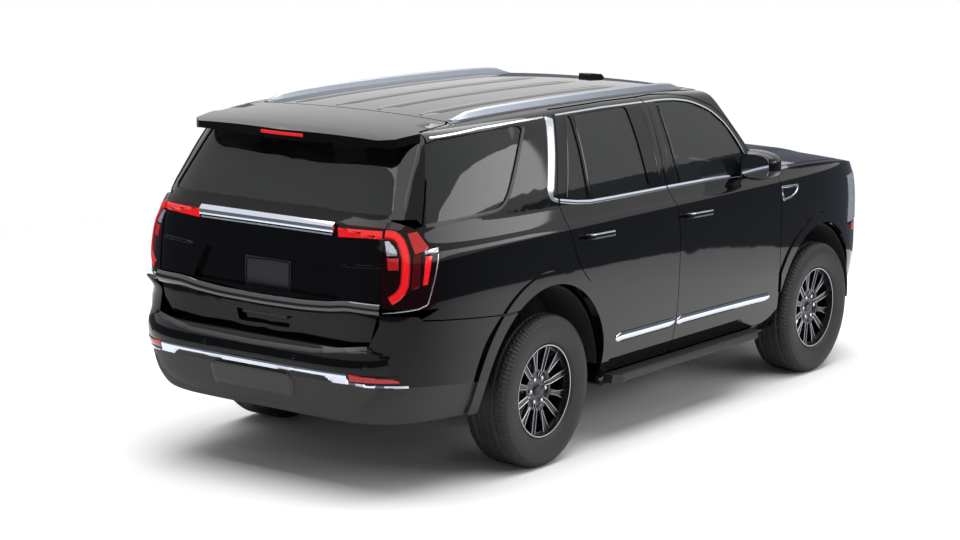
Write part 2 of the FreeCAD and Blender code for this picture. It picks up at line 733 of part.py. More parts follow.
# Roof, from the windscreen's top to the seam ahead of the spoiler
seam_x = station(-0.3480)
roof_front_x = station(0.6620)
ditch_half = dim.roof_half * 0.925
roof = height_slab(
    roof_height,
    spread(roof_line[0][0], roof_line[-1][0], 18),
    spread(-dim.roof_half, dim.roof_half, 15),
    dim.roof_sheet,
)
roof_outline = [
    (seam_x, -ditch_half + dim.panel_gap * 8),
    (seam_x - dim.panel_gap * 10, -ditch_half + dim.panel_gap),
    (station(0.25), -ditch_half - dim.panel_gap * 2),
    (roof_front_x - dim.panel_gap * 6, -ditch_half),
    (roof_front_x, 0),
    (roof_front_x - dim.panel_gap * 6, ditch_half),
    (station(0.25), ditch_half + dim.panel_gap * 2),
    (seam_x - dim.panel_gap * 10, ditch_half - dim.panel_gap),
    (seam_x, ditch_half - dim.panel_gap * 8),
]
roof_panel = roof.common(prism_z(roof_outline, 0, far * 3, dim.panel_gap * 4))
aerial_x = station(0.6200)
aerial = prism_y(
    [
        (aerial_x - dim.rack_width * 2, roof_height(aerial_x, 0) - dim.roof_sheet / 2),
        (aerial_x + dim.rack_width * 2, roof_height(aerial_x, 0) - dim.roof_sheet / 2),
        (aerial_x + dim.rack_width, roof_height(aerial_x, 0) + dim.rack_height * 0.6),
        (aerial_x - dim.rack_width * 2, roof_height(aerial_x, 0) + dim.rack_height * 0.9),
    ],
    -dim.rack_width,
    dim.rack_width,
    dim.panel_gap,
)
roof_panel = roof_panel.fuse([aerial]).removeSplitter()
add_shape("roof_panel", roof_panel)

# Tailgate with its spoiler
gate_low_z = level(0.4195)
gate_half = dim.body_half * 0.7225
gate_foot_half = dim.body_half * 0.6700
gate_outline = [
    (-gate_foot_half, gate_low_z),
    (gate_foot_half, gate_low_z),
    (gate_half, level(0.5150)),
    (gate_half, level(0.7490)),
    (-gate_half, level(0.7490)),
    (-gate_half, level(0.5150)),
]
rear_box = (-half_length - far, rear_wheel_x - dim.overrun)
gate_wall = both(
    body_ring(0, dim.gate_depth).common(block(rear_box[0], rear_box[1], low_wall, 0, 0, level(0.9750))),
)
gate_lower = gate_wall.common(prism_x(gate_outline, rear_box[0], rear_box[1], corner_radius))
finisher_line = side_points(finisher_line_shares)
finisher_prism = prism_y(finisher_line, low_wall, -low_wall)
upper_wall = both(
    body_ring(0, dim.skin_depth).common(block(rear_box[0], rear_box[1], low_wall, 0, 0, dim.body_height)),
)
gate_upper = upper_wall.common(finisher_prism)
spoiler_outline = [
    (seam_x - dim.seam_gap, ditch_half - dim.panel_gap * 10),
    (seam_x - dim.panel_gap * 12, ditch_half - dim.panel_gap * 3),
    (finisher_line[3][0] - dim.panel_gap, ditch_half - dim.panel_gap * 3),
    (finisher_line[3][0] - dim.panel_gap * 3, ditch_half + dim.panel_gap * 3),
    (roof_line[0][0] + dim.rail_width * 1.2, ditch_half - dim.panel_gap * 3),
    (roof_line[0][0] + dim.rail_width * 0.5, ditch_half - dim.panel_gap * 14),
    (roof_line[0][0], 0),
]
spoiler_outline = spoiler_outline + [(a, -b) for a, b in reversed(spoiler_outline[:-1])]
spoiler = height_slab(
    roof_height,
    spread(roof_line[0][0], roof_line[-1][0], 18),
    spread(-dim.roof_half * 1.05, dim.roof_half * 1.05, 15),
    dim.spoiler_depth,
)
spoiler = spoiler.common(prism_z(spoiler_outline, 0, far * 3, dim.panel_gap * 3))
window_outline = [
    (-dim.body_half * 0.7200, level(0.7540)),
    (dim.body_half * 0.7200, level(0.7540)),
    (dim.body_half * 0.6150, level(0.9220)),
    (-dim.body_half * 0.6150, level(0.9220)),
]
gate = gate_lower.fuse([gate_upper, spoiler]).removeSplitter()
gate = gate.cut(prism_x(window_outline, rear_box[0], rear_box[1], corner_radius))
# Recess for the plate and recess for the hand grip
recess_depth = dim.plate_sheet * 8
plate_z = level(0.5666)
recess_outline = [
    (-dim.plate_width * 1.60, plate_z - dim.plate_height / 2),
    (dim.plate_width * 1.60, plate_z - dim.plate_height / 2),
    (dim.plate_width * 1.33, plate_z + dim.plate_height * 0.64),
    (-dim.plate_width * 1.33, plate_z + dim.plate_height * 0.64),
]
gate_face_x = middle_x - rear_reach
recess_back = gate_face_x + recess_depth
gate = gate.cut(prism_x(recess_outline, rear_box[0], recess_back, dim.panel_gap))
grip_outline = [
    (dim.plate_width * -0.55, level(0.4310)),
    (dim.plate_width * 0.55, level(0.4310)),
    (dim.plate_width * 0.62, level(0.4630)),
    (dim.plate_width * -0.62, level(0.4630)),
]
gate = gate.cut(prism_x(grip_outline, rear_box[0], recess_back, dim.panel_gap))
screw_holes = []
for side in (-1, 1):
    y = side * dim.plate_screw_spacing / 2
    z = plate_z + dim.plate_height * 0.36
    start = Vec(recess_back - dim.plate_sheet * 2, y, z)
    screw_holes.append(rod(start, start + Vec(dim.gate_depth * 0.6, 0, 0), dim.plate_screw_radius))
gate = gate.cut(screw_holes)
gate_pin_x = seam_x - dim.panel_gap * 14
gate_pin_y = ditch_half - dim.panel_gap * 3
gate_pin_z = roof_height(gate_pin_x, gate_pin_y) - dim.spoiler_depth * 0.65
pin_bores = []
gate_pins = []
for side in (-1, 1):
    inner = Vec(gate_pin_x, side * (gate_pin_y - dim.hinge_strap), gate_pin_z)
    deeper = Vec(gate_pin_x, side * (gate_pin_y - dim.hinge_strap - dim.pin_play), gate_pin_z)
    outer = Vec(gate_pin_x, side * (gate_pin_y + dim.skin_depth), gate_pin_z)
    pin_bores.append(rod(deeper, outer, dim.pin_radius + dim.pin_play))
    gate_pins.append(rod(inner, outer, dim.pin_radius))
gate = gate.cut(pin_bores)
add_shape("tailgate", gate)

# The body side gives way to the roof panel and the spoiler, and holds the gate's pins
roof_room = prism_z(roof_outline, level(0.93), far * 3, dim.panel_gap * 4)
jog_x = finisher_line[3][0] - dim.panel_gap * 4
moved = []
for a, b in spoiler_outline:
    shift = dim.gate_gap * 1.5 if a > jog_x else 0
    moved.append((a + shift, b + math.copysign(dim.gate_gap, b)))
spoiler_room = prism_z(moved, level(0.93), far * 3, dim.panel_gap)
side_frame = side_frame.cut([roof_room, spoiler_room]).fuse(gate_pins[0])
add_pair("body_side", side_frame.removeSplitter())

plate = block(
    recess_back - dim.plate_sheet - dim.seat_play, recess_back - dim.seat_play,
    -dim.plate_width / 2, dim.plate_width / 2,
    plate_z - dim.plate_height / 2 + dim.plate_sheet, plate_z + dim.plate_height / 2,
)
plate = plate.cut(screw_holes)
add_shape("number_plate", plate)

gate_pane_ring = both(body_ring(dim.glass_inset, dim.glass_inset + dim.glass_thickness).common(
    block(rear_box[0], rear_box[1], low_wall, 0, 0, dim.body_height)))
pane_outline = []
for a, b in window_outline:
    inward = dim.seat_play if b < level(0.8) else -dim.seat_play
    pane_outline.append((a - math.copysign(dim.seat_play, a), b + inward))
gate_pane = gate_pane_ring.common(
    prism_x(pane_outline, rear_box[0], rear_box[1], corner_radius - dim.seat_play),
)
add_shape("tailgate_glass", gate_pane)

# Lamps on the gate either side of the bright bar
bar_low = level(0.7010)
bar_top = level(0.7260)
bar_half = dim.body_half * 0.4420
lamp_top = level(0.7420)
gate_lamp_outline = [
    (bar_half, bar_top + dim.panel_gap),
    (bar_half + dim.panel_gap * 3, level(0.7150)),
    (gate_half - dim.panel_gap, level(0.6980)),
    (gate_half - dim.panel_gap, lamp_top - dim.panel_gap),
]
stand = dim.lamp_stand_out
front_cover = body_ring(-stand * 2, -dim.seat_play).common(
    block(rear_box[0], rear_box[1], low_wall, 0, 0, dim.body_height),
)
gate_lamp = mirrored(front_cover).common(
    prism_x(gate_lamp_outline, rear_box[0], rear_box[1], dim.panel_gap),
)
stop_x = roof_line[0][0] + dim.rail_width * 0.45
stop_half = dim.plate_screw_spacing * 0.82
stop_z = roof_height(stop_x, stop_half) - dim.spoiler_depth - dim.seat_play * 2
stop_lamp = block(
    stop_x, stop_x + dim.rail_width * 0.40, -stop_half, stop_half,
    stop_z - dim.rack_height * 0.5, stop_z,
)
add_shape("tailgate_lamps", Part.makeCompound([gate_lamp, mirrored(gate_lamp), stop_lamp]))
bar_outline = [
    (-bar_half + dim.panel_gap, bar_low),
    (bar_half - dim.panel_gap, bar_low),
    (bar_half - dim.panel_gap, bar_top + dim.panel_gap),
    (-bar_half + dim.panel_gap, bar_top + dim.panel_gap),
]
gate_bar = both(front_cover).common(prism_x(bar_outline, rear_box[0], rear_box[1], dim.panel_gap))
add_shape("tailgate_bar", gate_bar)

# Lamps on the body's rear corners
lamp_ring = body_ring(-stand, dim.lamp_depth).common(lamp_prism)
lamp_side = block(rear_box[0], rear_box[1], low_wall, -gate_half - dim.gate_gap, 0, dim.body_height)
lamp_corner_shares = [(-0.7763, 0.7159), (-0.714, 0.7159), (-0.714, 0.7566), (-0.7763, 0.7566)]
tail_lamp = lamp_ring.common(lamp_side).cut(side_prism(side_points(lamp_corner_shares)))

# Rear bumper
bumper_wall = bumper_ring(0, dim.bumper_wall)
bumper_shares = [
    (-1.1816, 0.1544), (0.0, 0.1544), (0.0, 0.4658), (-0.3772, 0.4658), (-0.788, 0.4869),
    (-0.8231, 0.5018), (-1.1816, 0.5069),
]
bumper_half = bumper_wall.common(side_prism(side_points(bumper_shares)))
bumper_half = bumper_half.cut(arch_drum(rear_arch, dim.rear_arch_radius))
bumper_half = bumper_half.cut(block(rear_wheel_x, far, low_wall, far, 0, far * 2))
step_top = level(0.4070)
opening = prism_x(
    [
        (gate_foot_half + dim.panel_gap * 3, step_top),
        (gate_half + dim.panel_gap * 3, level(0.5120)),
        (-gate_half - dim.panel_gap * 3, level(0.5120)),
        (-gate_foot_half - dim.panel_gap * 3, step_top),
    ],
    rear_box[0], rear_box[1],
)
bumper_half = bumper_half.cut(opening)
bumper_lip_shares = [
    (-0.2463, 0.2033), (-0.714, 0.2033), (-0.714, 0.4632), (-0.3772, 0.4632), (-0.1995, 0.4632),
]
bumper_lip = arch_flare(rear_arch, dim.rear_arch_radius, dim.rear_flare_radius)
bumper_lip = bumper_lip.common(side_prism(side_points(bumper_lip_shares)))
rear_bumper = both(bumper_half.fuse(bumper_lip).removeSplitter())
add_shape("rear_bumper", rear_bumper)

reflector_ring = bumper_ring(-stand, -dim.seat_play)
reflector_outline = [
    (-dim.body_half * 0.5800, level(0.3330)),
    (-dim.body_half * 0.5900, level(0.3450)),
    (-dim.body_half * 0.8300, level(0.3450)),
    (-dim.body_half * 0.8200, level(0.3330)),
]
reflector = reflector_ring.common(prism_x(reflector_outline, rear_box[0], rear_box[1]))
add_shape(
    "tail_lamps",
    Part.makeCompound([tail_lamp, mirrored(tail_lamp), reflector, mirrored(reflector)]),
)

# Front bumper, grille and headlamps
nose_wall = body_ring(0, dim.bumper_wall)
front_bumper_shares = [
    (1.0003, 0.1518), (2.0337, 0.1518), (2.0337, 0.4632), (1.5442, 0.4527), (1.0003, 0.2283),
]
nose = nose_wall.common(side_prism(side_points(front_bumper_shares)))
nose = nose.cut(arch_drum(front_arch, dim.front_arch_radius))
nose = nose.cut(block(-far, front_wheel_x + dim.front_arch_radius * 0.5, low_wall, far, 0, far * 2))
nose_lip = arch_flare(front_arch, dim.front_arch_radius, dim.front_flare_radius)
nose_lip = nose_lip.common(side_prism(side_points(front_bumper_shares)))
lip_box = block(front_wheel_x + dim.front_arch_radius * 0.5, far * 3, low_wall, 0, 0, far)
nose = nose.fuse(nose_lip.common(lip_box))
grille_half = dim.body_half * 0.5600
grille_low = level(0.3450)
grille_top = level(0.6120)
mouth = block(front_wheel_x + dim.overrun, far * 3, -grille_half, grille_half, grille_low, grille_top)
intake = block(
    front_wheel_x + dim.overrun, far * 3, -grille_half, grille_half, level(0.2050), level(0.2850),
)
front_bumper = both(nose).cut([mouth, intake])
add_shape("front_bumper", front_bumper)
grille_ring = both(
    body_ring(-stand, dim.skin_depth).common(block(front_wheel_x, far * 3, low_wall, 0, 0, dim.body_height)),
)
grille_zone = block(
    front_wheel_x + dim.overrun, far * 3,
    -grille_half + dim.seat_play, grille_half - dim.seat_play,
    grille_low + dim.seat_play, grille_top - dim.seat_play,
)
grille = grille_ring.common(grille_zone)
bar_count = 7
bar_pitch = (grille_top - grille_low - dim.gate_gap * 2 - dim.rail_width * 0.5) / bar_count
slots = []
for k in range(bar_count):
    z = grille_low + dim.gate_gap + dim.rail_width * 0.5 + k * bar_pitch
    slots.append(block(
        front_wheel_x + dim.overrun, far * 3,
        -grille_half + dim.rail_width * 0.6, grille_half - dim.rail_width * 0.6,
        z, z + bar_pitch - dim.rack_height * 0.6,
    ))
grille = grille.cut(slots)
spine = body_ring(dim.skin_depth - dim.panel_gap * 3, dim.skin_depth).common(block(
    front_wheel_x + dim.overrun, far * 3, -dim.rail_width * 0.3, 0,
    grille_low + dim.seat_play, grille_top - dim.seat_play,
))
header_zone = body_ring(0, dim.skin_depth).common(block(
    station(1.46), far * 3, nose_gap_y + dim.seat_play, 0, grille_top, dim.body_height))
header = both(header_zone.common(below_hood))
add_shape("grille", grille.fuse(both(spine)).removeSplitter())
add_shape("nose_panel", header)
head_shares = [(1.4592, 0.4683), (2.0337, 0.4683), (2.0337, 0.6258), (1.4653, 0.6258), (1.4592, 0.6207)]
head_prism = side_prism(side_points(head_shares))
headlamp = body_ring(-stand, dim.lamp_depth).common(head_prism)
headlamp = headlamp.common(block(0, far * 3, low_wall, nose_gap_y, 0, dim.body_height))
add_shape("headlamps", pair(headlamp))

# Windscreen, a curved pane between the pillars
screen_low_x = station(0.8380)
screen_top_x = station(0.6720)
screen_sweep_low = dim.overrun * 0.60
screen_sweep_top = dim.overrun * 0.20


def screen_point(across, up):
    y = across * dim.body_half * 0.93
    low_x = screen_low_x - screen_sweep_low * across**2
    top_x = screen_top_x - screen_sweep_top * across**2
    low_z = level(0.7050)
    top_z = level(0.9700) - dim.roof_crown * across**2
    x = low_x + (top_x - low_x) * up
    z = low_z + (top_z - low_z) * up
    bulge = dim.roof_crown * 0.5 * math.sin(math.pi * min(1.0, max(0.0, up)))
    return Vec(x + bulge, y, z + bulge)


screen_rows = []
for up in spread(-0.05, 1.05, 10):
    screen_rows.append([screen_point(across, up) for across in spread(-1, 1, 13)])
screen_slab = grid_face(screen_rows).extrude(Vec(-dim.glass_thickness * 1.6, 0, 0))
windscreen = inside_of(screen_slab, dim.pillar_depth + dim.seat_play)
windscreen = windscreen.common(
    block(0, hood_rear_x - dim.panel_gap, low_wall, far, level(0.7155), level(0.9580)),
)
windscreen = max(windscreen.Solids, key=lambda solid: solid.Volume)
quarter_pane = door_glass(quarter_window)
add_shape("fixed_glass", Part.makeCompound([windscreen, quarter_pane, mirrored(quarter_pane)]))

# Roof rails: bowed bars that taper down onto the roof at both ends
rack_rear_x = station(-0.3250)
rack_front_x = station(0.6200)
rack_taper = dim.overrun * 0.4
rack_half = dim.body_half * 0.6120
rack_rows = []
rack_count = 19
for k, x in enumerate(spread(rack_rear_x, rack_front_x, rack_count)):
    end = min(x - rack_rear_x, rack_front_x - x) / rack_taper
    lift = dim.rack_height * min(1.0, max(0.0, end)) ** 0.7 + dim.plate_sheet
    across = 2 * k / (rack_count - 1) - 1
    y = -rack_half - dim.rack_width * 0.6 * (1 - across**2)
    base = roof_height(x, y) - dim.plate_sheet * 3
    wide = dim.rack_width / 2
    points = [
        Vec(x, y - wide, base),
        Vec(x, y - wide * 0.7, base + lift * 0.8 + dim.plate_sheet * 3),
        Vec(x, y, base + lift + dim.plate_sheet * 3),
        Vec(x, y + wide * 0.7, base + lift * 0.8 + dim.plate_sheet * 3),
        Vec(x, y + wide, base),
    ]
    rack_rows.append(Part.makePolygon(points + points[:1]))
rack = Part.makeLoft(rack_rows, True, True)
roof_bed = height_slab(
    lambda x, y: roof_height(x, y) + dim.seat_play,
    spread(roof_line[0][0], roof_line[-1][0], 18),
    spread(-dim.roof_half, dim.roof_half, 15),
    dim.spoiler_depth * 2,
)
rack = rack.cut(roof_bed)
add_shape("roof_rails", pair(rack))

# Running boards, carried under the sills by brackets
step_front_x = station(0.7660)
step_rear_x = station(0.1592)
step_low = dim.step_base
step_lip = dim.step_height * 0.35
step_outer = -dim.step_half
step_inner = step_outer + dim.step_width
step_taper = dim.step_width * 2.5
step_plan = prism_z(
    [
        (step_rear_x, step_inner),
        (step_rear_x + step_taper, step_outer),
        (step_front_x - step_taper * 0.5, step_outer),
        (step_front_x, step_inner),
    ],
    step_low,
    step_low + dim.step_height,
)
step = prism_x(
    [
        (step_outer, step_low + step_lip),
        (step_outer + step_lip, step_low),
        (step_inner, step_low),
        (step_inner, step_low + dim.step_height),
        (step_outer + step_lip, step_low + dim.step_height),
    ],
    step_rear_x,
    step_front_x,
).common(step_plan)
flare_room = arch_drum(rear_arch, dim.rear_flare_radius + dim.panel_gap)
add_shape("running_boards", pair(step.cut(flare_room)))


# Box, cylinder and joined shapes whose sizes follow the sheet
def bound(kind, name, **expressions):
    item = doc.addObject(kind, name)
    for key, text in expressions.items():
        path = key
        if key in ("X", "Y", "Z"):
            path = "Placement.Base." + key.lower()
        item.setExpression(path, text)
    return item


def joined(name, items):
    fuse = doc.addObject("Part::MultiFuse", name)
    fuse.Shapes = items
    fuse.Label = name
    parts[name] = fuse
    return fuse


def cell(alias):
    return "Sizes." + alias


doc.recompute()
# Chassis: two long rails, cross members, a tank and the hitch tube
rail_y = dim.rail_half
rail_low = dim.rail_base
rail_top = rail_low + dim.rail_depth
rail_rear_x = station(-0.8400)
rail_front_x = station(1.7500)
rail_shares = [
    (1.748, 0.175), (1.748, 0.2419), (0.1179, 0.2419), (0.0788, 0.3109), (-0.2619, 0.3109),
    (-0.3554, 0.2676), (-0.8402, 0.2676), (-0.8402, 0.2059), (-0.3164, 0.2059), (-0.2229, 0.2491),
    (0.0625, 0.2491), (0.1016, 0.175),
]
rails = []
for side in (-1, 1):
    y = side * rail_y
    rails.append(prism_y(side_points(rail_shares), y - dim.rail_width / 2, y + dim.rail_width / 2))
member_shares = (0.20, 0.33, 0.55, 0.74, 1.20, 1.70)
for share in member_shares:
    x = station(share)
    rails.append(block(
        x - dim.rail_width / 2, x + dim.rail_width / 2, -rail_y, rail_y,
        rail_low + dim.rail_wall, rail_top,
    ))
nose_beam = block(
    rail_front_x - dim.rail_width, rail_front_x + dim.overrun * 0.8, -rail_y - dim.rail_width / 2,
    rail_y + dim.rail_width / 2, rail_low, rail_top,
)
nose_beam = nose_beam.cut(
    block(-far, far * 3, -rail_y + dim.rail_width / 2, rail_y - dim.rail_width / 2, 0, far),
)
nose_beams = []
for beam in nose_beam.Solids:
    ends = inside_of(beam, dim.bumper_wall + dim.seat_play)
    nose_beams.append(ends)
tank = block(
    station(0.16), station(0.45), rail_y + dim.rail_width / 2 - dim.rail_wall,
    rail_y + dim.rail_width * 3.6, rail_low - dim.rail_width * 0.5, rail_top,
)
hitch_z = level(0.2170)
hitch_rear = station(-0.8514)
hitch_side = dim.hitch_inner / 2 + dim.hitch_wall
hitch_tube = block(
    hitch_rear, rail_rear_x + dim.rail_depth * 2, -hitch_side, hitch_side, hitch_z - hitch_side,
    hitch_z + hitch_side,
)
hitch_beam = block(
    rail_rear_x, rail_rear_x + dim.rail_width, -rail_y, rail_y,
    hitch_z - dim.rail_wall, hitch_z + dim.rail_width,
)
cross_beam = block(
    station(-0.42), station(-0.36), -rail_y, rail_y, rail_top + dim.rail_wall * 2, rail_top + dim.rail_width,
)
step_arms = []
for share in (0.20, 0.44, 0.68):
    for side in (-1, 1):
        x = station(share)
        low_y = rail_y if side > 0 else step_inner - dim.rail_wall * 4
        high_y = -step_inner + dim.rail_wall * 4 if side > 0 else -rail_y
        step_arms.append(block(
            x - dim.rail_width / 4, x + dim.rail_width / 4, low_y, high_y,
            step_low - dim.rail_wall - dim.seat_play, step_low - dim.seat_play,
        ))
chassis_items = rails[1:] + nose_beams + [tank, hitch_tube, hitch_beam, cross_beam] + step_arms
chassis = rails[0].fuse(chassis_items).removeSplitter()
hitch_bore = block(
    hitch_rear - dim.overrun, hitch_rear + dim.rail_depth * 2,
    -dim.hitch_inner / 2, dim.hitch_inner / 2,
    hitch_z - dim.hitch_inner / 2, hitch_z + dim.hitch_inner / 2,
)
chassis = chassis.cut(hitch_bore)
add_shape("chassis_frame", chassis)

# Floor, firewall and wheel houses
floor_z = dim.floor_height
floor_top = floor_z + dim.floor_sheet
floor_rear_x = station(-0.7900)
firewall_x = station(0.8330)
rear_floor_z = floor_z + dim.floor_sheet * 10
rear_floor_top = rear_floor_z + dim.floor_sheet
riser_x = station(0.1250)
floor_outline = [
    (firewall_x, floor_z),
    (firewall_x, floor_top),
    (riser_x, floor_top),
    (riser_x, rear_floor_top),
    (floor_rear_x, rear_floor_top),
    (floor_rear_x, floor_z + dim.rail_width * 0.52),
    (floor_rear_x + dim.floor_sheet, floor_z + dim.rail_width * 0.52),
    (floor_rear_x + dim.floor_sheet, rear_floor_z),
    (riser_x - dim.floor_sheet, rear_floor_z),
    (riser_x - dim.floor_sheet, floor_z),
]
floor = prism_y(floor_outline, -dim.floor_half, dim.floor_half)
rear_sill = block(
    floor_rear_x - dim.rail_width * 0.45, floor_rear_x + dim.floor_sheet,
    -dim.body_half * 0.66, dim.body_half * 0.66, rear_floor_z, level(0.4080),
)
firewall = block(
    firewall_x - dim.floor_sheet, firewall_x, -dim.floor_half, dim.floor_half, floor_z,
    level(0.6650),
)
cowl = block(
    firewall_x - dim.rail_width * 0.6, firewall_x, -dim.floor_half * 0.95, dim.floor_half * 0.95,
    level(0.6500), level(0.7020),
)
liner_inner = dim.kingpin_half * 0.625
liner_wall = dim.plate_sheet * 2


def wheel_house(centre, radius, y_inner, y_outer, z_cut):
    outer = rod(Vec(centre.x, y_inner, centre.z), Vec(centre.x, y_outer, centre.z), radius)
    inner_start = Vec(centre.x, y_inner + liner_wall, centre.z)
    inner = rod(inner_start, Vec(centre.x, y_outer + dim.overrun, centre.z), radius - liner_wall)
    house = outer.cut(inner)
    return house.cut(block(centre.x - far, centre.x + far, -far, far, z_cut - far, z_cut))


rear_house_radius = dim.rear_arch_radius - dim.panel_gap * 2
rear_house = wheel_house(
    rear_arch, rear_house_radius, wheel_half - dim.tyre_width * 0.72,
    dim.body_half - dim.skin_depth - dim.panel_gap * 2, rear_arch.z + dim.rail_width * 0.4,
)
house_room = rod(
    Vec(rear_arch.x, wheel_half - dim.tyre_width * 0.72 + liner_wall, rear_arch.z),
    Vec(rear_arch.x, far, rear_arch.z),
    rear_house_radius - liner_wall,
)
floor_shell = floor.fuse(rear_sill).cut([house_room, mirrored(house_room)])
floor_shell = floor_shell.fuse([rear_house, mirrored(rear_house), firewall, cowl]).removeSplitter()
# The hood's rear edge swings down past the cowl, so the cowl is hollowed round its pins
hood_rise = hood_height(hood_rear_x, 0) - hood_pin_z
hood_swing_radius = math.hypot(hood_pin_x - hood_rear_x, hood_rise) + dim.panel_gap
hood_sweep = rod(Vec(hood_pin_x, -far, hood_pin_z), Vec(hood_pin_x, far, hood_pin_z), hood_swing_radius)
floor_shell = floor_shell.cut(hood_sweep)
add_shape("floor_pan", floor_shell)
front_house_radius = dim.front_arch_radius - dim.panel_gap * 2
front_house = wheel_house(
    front_arch, front_house_radius, liner_inner,
    dim.body_half - dim.skin_depth - dim.panel_gap * 3, front_arch.z - dim.rail_width * 0.4,
)
arm_room = block(
    front_axle_x - dim.rail_width * 2.3, front_axle_x + dim.rail_width * 2.3,
    liner_inner - dim.panel_gap, liner_inner + dim.panel_gap * 2, 0, dim.tyre_radius + dim.bead_radius * 0.65,
)
door_room = body_ring(0, dim.door_depth + dim.panel_gap).common(
    grown_prism(front_door_outline, dim.panel_gap),
)
front_house = front_house.cut([
    block(-far, firewall_x + dim.panel_gap, -far, far, 0, far),
    arm_room, mirrored(door_room), mirrored(front_swing),
])
add_shape("front_liners", pair(mirrored(front_house)))

# Engine block
engine = bound(
    "Part::Box", "engine_block",
    Length=cell("engine_length"), Width=cell("engine_width"), Height=cell("engine_height"),
    X="Sizes.wheelbase / 2 - Sizes.overrun * 0.7", Y="-Sizes.engine_width / 2",
    Z="Sizes.rail_base + Sizes.rail_depth + Sizes.seat_play",
)
engine.Label = "engine"
parts["engine"] = engine


# Seats: cushion, backrest and headrest in one soft solid each
def seat(x, y, width, base_z, heads, ground):
    cushion = block(
        x, x + dim.cushion_length, y - width / 2, y + width / 2, base_z,
        base_z + dim.cushion_height,
    )
    lean = dim.backrest_length * 0.30
    back = prism_y(
        [
            (x, base_z),
            (x + dim.backrest_depth, base_z),
            (x + dim.backrest_depth * 0.8 - lean, base_z + dim.backrest_length),
            (x - lean, base_z + dim.backrest_length),
        ],
        y - width / 2,
        y + width / 2,
    )
    solids = [cushion, back]
    for offset in heads:
        low = base_z + dim.backrest_length - dim.panel_gap
        head_x = x - lean + dim.backrest_depth * 0.1
        solids.append(block(
            head_x, head_x + dim.headrest_depth,
            y + offset - dim.headrest_width / 2, y + offset + dim.headrest_width / 2,
            low, low + dim.headrest_height,
        ))
    pedestal = block(
        x + dim.panel_gap * 5, x + dim.cushion_length * 0.85,
        y - width * 0.4, y + width * 0.4,
        ground + dim.seat_play, base_z,
    )
    return solids[0].fuse(solids[1:] + [pedestal]).removeSplitter()


front_seat_y = dim.seat_width * 0.78
front_seat_x = station(0.4640)
front_base = level(0.4150)
front_seats = []
for side in (-1, 1):
    place_y = side * front_seat_y
    front_seats.append(seat(front_seat_x, place_y, dim.seat_width, front_base, (0,), floor_top))
add_shape("front_seats", Part.makeCompound(front_seats))
bench_head = dim.bench_width * 0.32
second_x = station(0.1750)
third_x = station(-0.1300)
second = seat(
    second_x, 0, dim.bench_width, front_base + dim.panel_gap * 4, (-bench_head, bench_head),
    floor_top,
)
third = seat(
    third_x, 0, dim.bench_width * 0.88, front_base + dim.panel_gap * 12, (-bench_head, bench_head),
    rear_floor_top,
)
add_shape("rear_seats", Part.makeCompound([second, third]))

# Dashboard and steering wheel
dash_x = station(0.7200)
dash_outline_shares = [
    (0.7307, 0.4632), (0.8154, 0.4632), (0.8154, 0.6639), (0.7828, 0.6845), (0.7535, 0.6639),
    (0.7275, 0.6073),
]
dash = prism_y(
    side_points(dash_outline_shares), -dim.floor_half * 0.985, dim.floor_half * 0.985,
    dim.panel_gap * 4,
)
dash_back = block(
    station(0.8150), firewall_x - dim.floor_sheet - dim.seat_play,
    -dim.floor_half * 0.985, dim.floor_half * 0.985, level(0.50), level(0.64),
)
dash = dash_back.fuse(dash)
wheel_centre = Vec(dash_x - dim.rail_width * 2.2, front_seat_y, level(0.5850))
column_dir = Vec(math.cos(math.radians(25)), 0, -math.sin(math.radians(25)))
steer_ring = Part.makeTorus(dim.headrest_width * 0.66, dim.rail_wall * 1.9, wheel_centre, column_dir)
column = rod(wheel_centre, wheel_centre + column_dir * dim.rail_width * 3.4, dim.rail_width * 0.32)
spoke = block(
    -dim.rail_wall, dim.rail_wall, -dim.headrest_width * 0.66, dim.headrest_width * 0.66,
    -dim.rail_wall * 2, dim.rail_wall * 2,
)
spoke.Placement = FreeCAD.Placement(wheel_centre, FreeCAD.Rotation(Vec(1, 0, 0), column_dir))
console = block(
    station(0.50), dash_x + dim.rail_width * 0.6, -dim.rail_width * 1.1, dim.rail_width * 1.1,
    floor_top + dim.seat_play, level(0.4700),
)
dash = dash.fuse([steer_ring, column, spoke, console]).removeSplitter()
add_shape("dashboard", dash)

# Rear axle: housing, differential and stubs that the rims run on
axle_z = dim.tyre_radius
hub_face = wheel_half - dim.rail_width * 0.55
stub_end = wheel_half + dim.rail_width * 0.30
axle = rod(
    Vec(rear_axle_x, -hub_face + dim.rail_width, axle_z),
    Vec(rear_axle_x, hub_face - dim.rail_width, axle_z), dim.spindle_radius * 1.3,
)
stub = rod(Vec(rear_axle_x, -stub_end, axle_z), Vec(rear_axle_x, stub_end, axle_z), dim.spindle_radius)
carrier = Part.makeSphere(dim.rail_depth * 1.15, Vec(rear_axle_x, 0, axle_z))
plates = []
arms = []
for side in (-1, 1):
    start = Vec(rear_axle_x, side * (hub_face - dim.rail_width * 1.2), axle_z)
    end = Vec(rear_axle_x, side * (hub_face - dim.rail_width * 0.25), axle_z)
    plates.append(rod(start, end, dim.hub_radius * 1.5))
    arms.append(block(
        rear_axle_x, rear_axle_x + dim.overrun * 1.1,
        side * (rail_y + dim.rail_width * 1.6) - dim.rail_wall * 3,
        side * (rail_y + dim.rail_width * 1.6) + dim.rail_wall * 3,
        axle_z - dim.rail_width * 0.9, axle_z - dim.rail_width * 0.2,
    ))
    arms.append(block(
        rear_axle_x + dim.overrun * 1.0, rear_axle_x + dim.overrun * 1.1,
        min(side * (rail_y + dim.rail_width / 2 + dim.seat_play), side * (rail_y + dim.rail_width * 1.6)),
        max(side * (rail_y + dim.rail_width / 2 + dim.seat_play), side * (rail_y + dim.rail_width * 1.6)),
        axle_z - dim.rail_width * 0.9, axle_z - dim.rail_width * 0.2,
    ))
